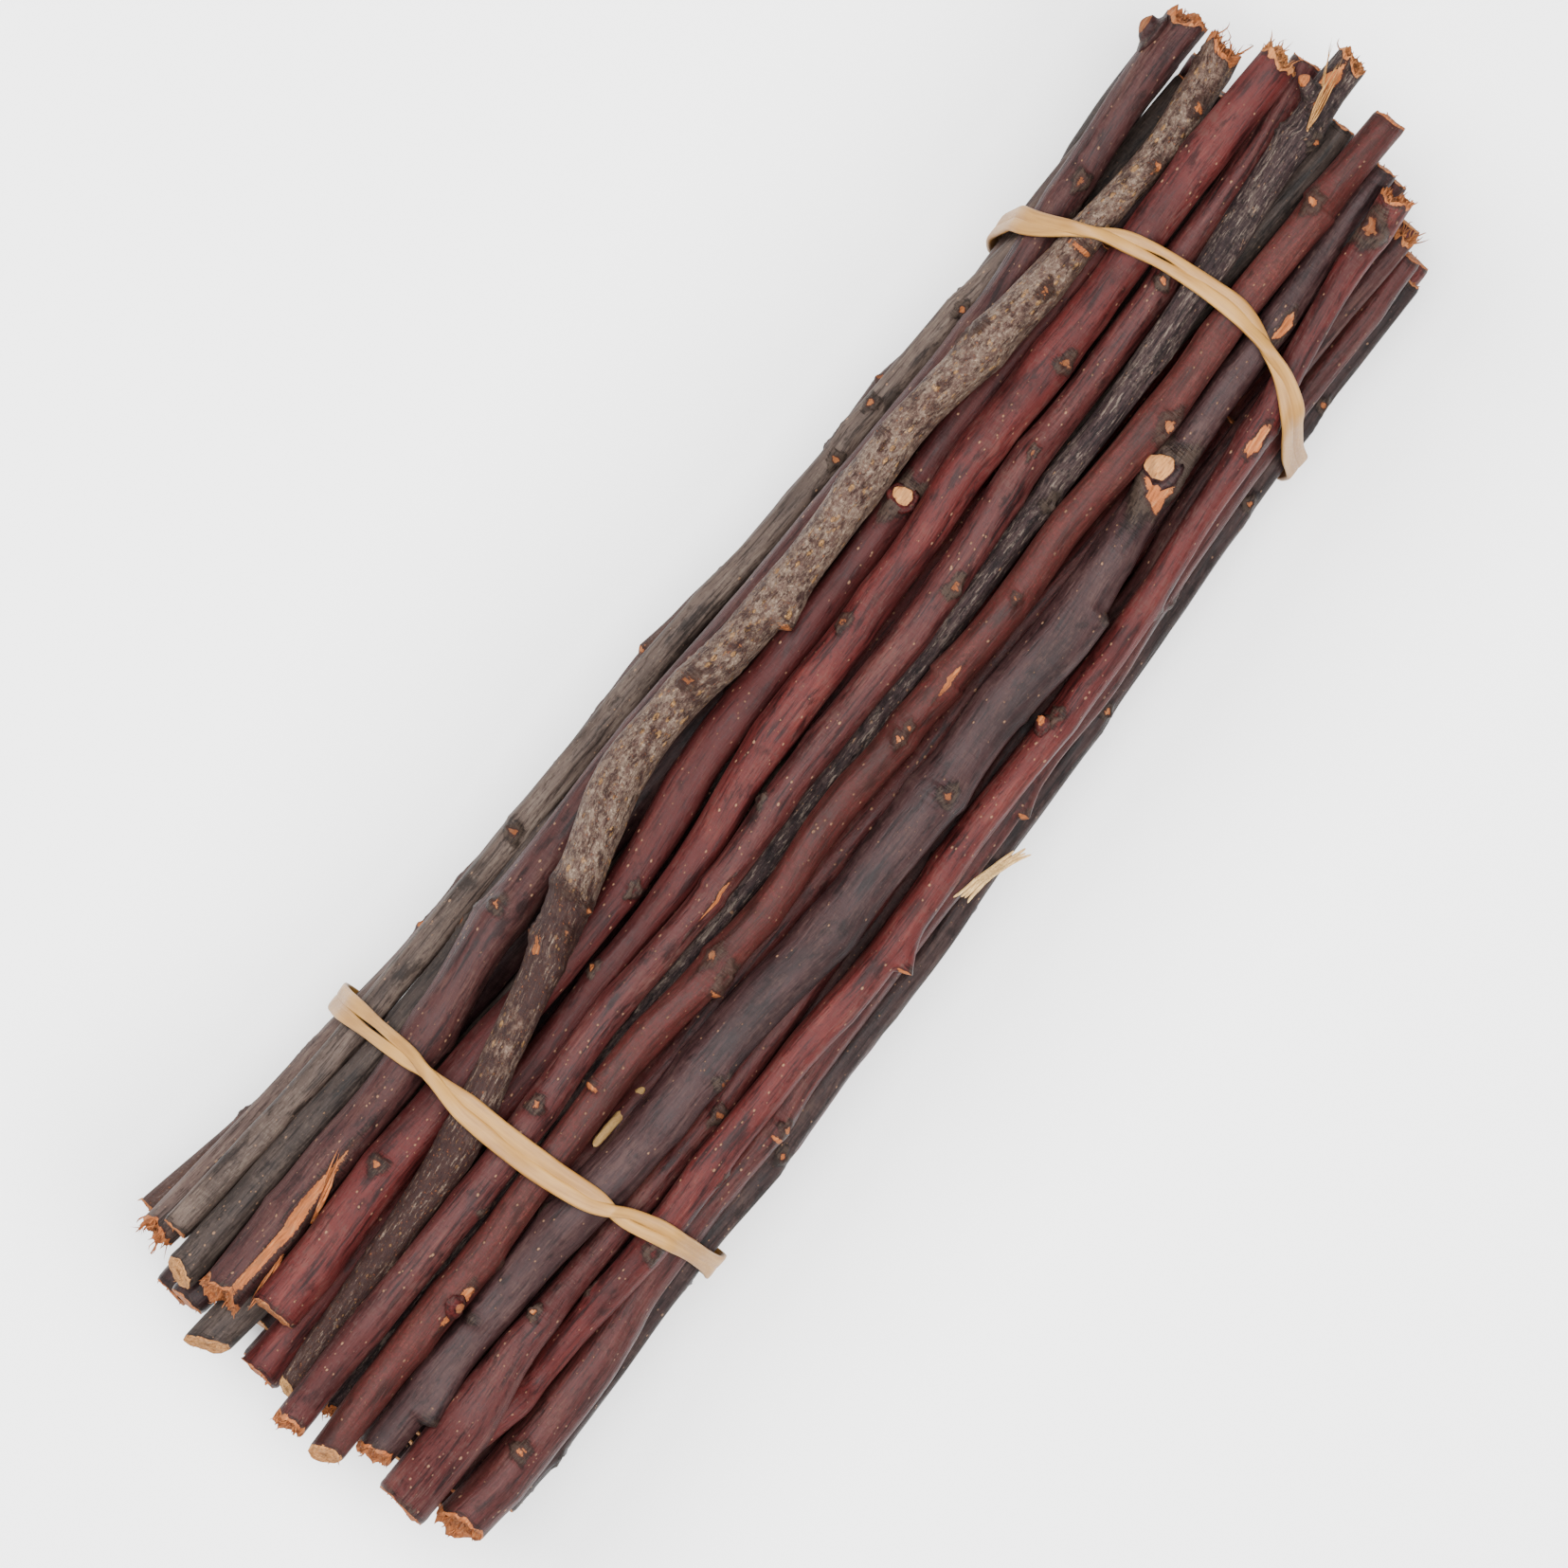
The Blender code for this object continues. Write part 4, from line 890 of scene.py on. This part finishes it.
def band_route(node, points_round):
    """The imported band's outer path, evenly spaced and rounded: along, across and height, in mm.

    Each of its rings has an inner and an outer pair of points one thickness apart. Their
    corners are rounded by a Gaussian average along the path.
    """
    points = packed_points(node)
    spots, which = np.unique(points[:, 1:], axis=0, return_inverse=True)
    which = which.ravel()
    along = np.bincount(which, points[:, 0]) / np.bincount(which)
    gap = np.linalg.norm(spots[:, None] - spots[None], axis=2)
    partner = np.abs(gap - BAND_THICKNESS).argmin(axis=1)
    middle = (spots.min(axis=0) + spots.max(axis=0)) / 2
    far = np.linalg.norm(spots - middle, axis=1)
    outer = far > far[partner]
    spots, along = spots[outer], along[outer]
    order = np.argsort(np.arctan2(*(spots - middle).T[::-1]))
    loop = np.column_stack([along, spots])[np.append(order, order[0])]
    length = np.append(0, np.cumsum(np.linalg.norm(np.diff(loop[:, 1:], axis=0), axis=1)))
    travel = np.linspace(0, length[-1], points_round, endpoint=False)
    path = np.column_stack([np.interp(travel, length, column) for column in loop.T])
    step = travel[1]
    return rounded(path, (3.0, 0.7, 0.7), step), travel


def rounded(columns, widths, step):
    """Gaussian average round a closed loop, one width in mm for each column."""
    away = np.fft.fftfreq(len(columns)) * len(columns) * step
    windows = [np.exp(-0.5 * (away / width) ** 2) for width in widths]
    return np.column_stack([
        np.fft.ifft(np.fft.fft(column) * np.fft.fft(window / window.sum())).real
        for column, window in zip(columns.T, windows)])


def rubber(name):
    """Stretched natural rubber: tan, slightly uneven, with fine lines along it."""
    paint = Paint(name)
    place = paint.attribute("place", "Vector")
    lines = paint.grained(place, (0.10, 3.0, 3.0), 3.0, 0.6)
    fine = paint.noise(place, 3.0, 4.0, 0.6)
    slow = paint.grained(place, (0.12, 0.5, 0.5))
    colour = paint.mix(slow.step(0.35, 0.65), (0.200, 0.092, 0.0180), (0.285, 0.145, 0.0330))
    colour = paint.mix(lines.step(0.46, 0.70) * 0.25, colour, (0.385, 0.210, 0.060))
    colour = paint.mix(lines.step(0.46, 0.30) * 0.4, colour, (0.140, 0.058, 0.013))
    roughness = fine.step(0.3, 0.7) * 0.15 + 0.42
    return paint.finish(colour, roughness, lines * 0.4 + slow * 0.6, 0.05, 0.5, 0.3)


def wind_band(node, name, seed, top_rows, crossings, material):
    """Two rounded strips along the band's path, whose places across it swap at crossings.

    top_rows gives, for places across the top, the band's middle along the bundle, its whole
    width and one strand's width. A strand's middle is off the band's middle by half of what
    the strand leaves of the width, times a sign that turns over smoothly at each crossing.
    """
    count, columns = 640, 16
    path, travel = band_route(node, count)
    tangent = np.roll(path, -1, axis=0) - np.roll(path, 1, axis=0)
    out = unit(np.column_stack([tangent[:, 2], -tangent[:, 1]]))
    top = np.clip(out[:, 1] / 0.55, 0, 1)
    top = top * top * (3 - 2 * top)
    rows = np.array(sorted(top_rows))
    across = path[:, 1] - FRAME_SHIFT[1]
    seen = [np.interp(across, rows[:, 0], column) for column in rows[:, 1:].T]
    middle = path[:, 0] * (1 - top) + (seen[0] + FRAME_SHIFT[0]) * top
    width = LOWER_WIDTH * (1 - top) + seen[1] * top
    strand = LOWER_STRAND * (1 - top) + seen[2] * top
    sign = np.ones(count)
    for crossing in crossings:
        sign = sign * np.where(top > 0.05, np.tanh((across - crossing) / 1.6), 1)
    smooth = rounded(np.column_stack([middle, width, strand, sign]), (1.2, 0.8, 0.8, 0.8),
                     travel[1])
    middle, width, strand, sign = smooth.T
    if sign[0] < 0:
        sign = -sign
    normal = np.column_stack([np.zeros(count), out])
    centre = np.column_stack([middle, path[:, 1:]])
    forward = unit(np.roll(centre, -1, axis=0) - np.roll(centre, 1, axis=0))
    sideways = unit(np.cross(forward, normal))
    v = turns(columns)
    flat = np.sign(np.cos(v)) * np.abs(np.cos(v)) ** 0.45
    thick = np.sign(np.sin(v)) * np.abs(np.sin(v)) ** 0.7
    growth = Growth(seed)
    for number, side in enumerate((1, -1)):
        offset = side * sign * (width - strand) / 2
        overlap = np.clip(1 - 2 * np.abs(offset) / strand, 0, 1)
        over = (number == 1) * overlap * STRAND_THICKNESS * 0.9
        depth = STRAND_THICKNESS / 2 + (BAND_THICKNESS - STRAND_THICKNESS - 0.1) * top
        roll = (0.16 * wander(seed + number, travel, 5.0) * top
                + (number == 1) * 0.55 * side * sign * overlap)
        place = centre + offset[:, None] * sideways + (over - depth)[:, None] * normal
        wide = np.cos(roll)[:, None] * sideways + np.sin(roll)[:, None] * normal
        high = np.cos(roll)[:, None] * normal - np.sin(roll)[:, None] * sideways
        edge = 1 + 0.04 * wander(seed + 5 + number, travel, 3.0)
        half = (strand / 2 * edge)[:, None]
        points = (place[:, None, :] + (half * flat)[..., None] * wide[:, None, :]
                  + (STRAND_THICKNESS / 2 * thick)[..., None] * high[:, None, :])
        flow = np.stack(np.broadcast_arrays(travel[:, None], half * flat + 6 * number,
                                            0.3 * thick), axis=-1)
        points = np.concatenate([points, points[:1]])
        flow = np.concatenate([flow, flow[:1] + [travel[1] * count, 0, 0]])
        growth.add_grid(points, flow, 0.0, 0.0, caps=(False, False))
    growth.make(name, material, node)


rubber_paint = rubber("rubber_band")
wind_band("rubber_band_left", "left_rubber_band", 71, [
    (23.5, -45.9, 3.4, 1.8), (20.0, -45.8, 2.7, 1.2), (14.0, -45.6, 2.4, 1.4),
    (12.0, -45.7, 1.5, 1.4), (7.0, -46.0, 3.2, 1.8), (0.0, -46.2, 3.4, 1.9),
    (-5.0, -46.0, 3.3, 1.8), (-10.0, -45.4, 3.0, 1.7), (-14.0, -44.7, 2.6, 1.2),
    (-18.0, -43.7, 2.8, 1.5), (-22.0, -43.4, 2.3, 1.5)], (12.0, -12.0), rubber_paint)
wind_band("rubber_band_right", "right_rubber_band", 72, [
    (18.5, 62.4, 3.1, 1.7), (15.0, 64.2, 2.0, 1.5), (12.0, 65.7, 1.3, 1.2),
    (10.0, 66.8, 2.2, 1.4), (8.0, 67.4, 2.5, 1.4), (4.5, 68.2, 2.2, 0.95),
    (0.0, 68.6, 2.4, 1.5), (-5.0, 68.9, 2.7, 1.6), (-8.0, 68.3, 2.3, 1.5),
    (-10.0, 67.5, 1.6, 1.4), (-13.0, 66.6, 2.1, 1.4), (-16.5, 64.0, 2.8, 1.6),
    (-19.0, 60.8, 2.8, 1.6)], (12.0, -10.0), rubber_paint)


# The loose slivers: two strips of torn pale wood caught between the twigs, each a few flat
# fibre strands that lie together and part at the ends.
pale_wood = Paint("pale_wood")
wood_place = pale_wood.attribute("place", "Vector")
fibre = pale_wood.grained(wood_place, (0.3, 5.0, 5.0), 4.0, 0.65)
straw = pale_wood.mix(fibre.step(0.35, 0.65), (0.36, 0.21, 0.080), (0.60, 0.40, 0.175))
# Painted shade: the tone darkens the straw towards olive, for a sliver that lies sunk in the shade
# between twigs.
straw = pale_wood.mix(pale_wood.attribute("tone"), straw, (0.20, 0.115, 0.040))
pale_wood.finish(straw, fibre * 0.2 + 0.55, fibre, 0.12, 0.9)


def lay_sliver(node, name, seed, strands, tone, sunk=0.0):
    """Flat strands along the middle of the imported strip, tapered and parted at their ends.

    A strand's section is an ellipse, and it lies under the strip's top by what it is sunk.
    """
    points = packed_points(node)
    stations = np.unique(points[:, 0])
    spots = [points[points[:, 0] == station] for station in stations]
    across = np.array([(spot[:, 1].min() + spot[:, 1].max()) / 2 for spot in spots])
    top = np.array([spot[:, 2].max() for spot in spots])
    wide = spots[0][:, 1].max() - spots[0][:, 1].min()
    chance = np.random.default_rng(seed)
    growth = Growth(seed)
    t = np.linspace(0, 1, 60)[:, None]
    v = turns(12)
    for strand in range(strands):
        share = (strand + 0.5) / strands - 0.5
        first, last = stations[0] + chance.uniform(0, 1.2), stations[-1] - chance.uniform(0, 1.2)
        x = first + (last - first) * t
        y = np.interp(x, stations, across) + share * wide * (0.9 + 0.7 * (2 * t - 1) ** 4)
        y = y + 0.08 * wander(seed + strand, x[:, 0], 2.0)[:, None]
        z = np.interp(x, stations, top) - 0.15 - sunk + chance.uniform(-0.1, 0.1)
        z = z + 0.3 * (2 * t - 1) ** 6
        half = wide / strands * 0.62 * (1 - (2 * t - 1) ** 8) ** 0.5 + 0.002
        half[[0, -1]] = POLE_RADIUS
        ridge = 1 + 0.12 * np.cos(5 * v + 2 * x)
        points = np.stack(np.broadcast_arrays(
            x, y + half * ridge * np.cos(v), z + 0.55 * half * ridge * np.sin(v)), axis=-1)
        growth.add_grid(points[:, ::-1], points[:, ::-1] + [0, 4.0 * strand, 0], 1.0, tone)
    growth.make(name, pale_wood.material, node)


lay_sliver("wood_sliver_edge", "edge_wood_sliver", 81, 4, 0.0)
# Tone 0.75 paints shade on this sunk sliver.
lay_sliver("wood_sliver_middle", "middle_wood_sliver", 82, 1, 0.75, sunk=1.7)
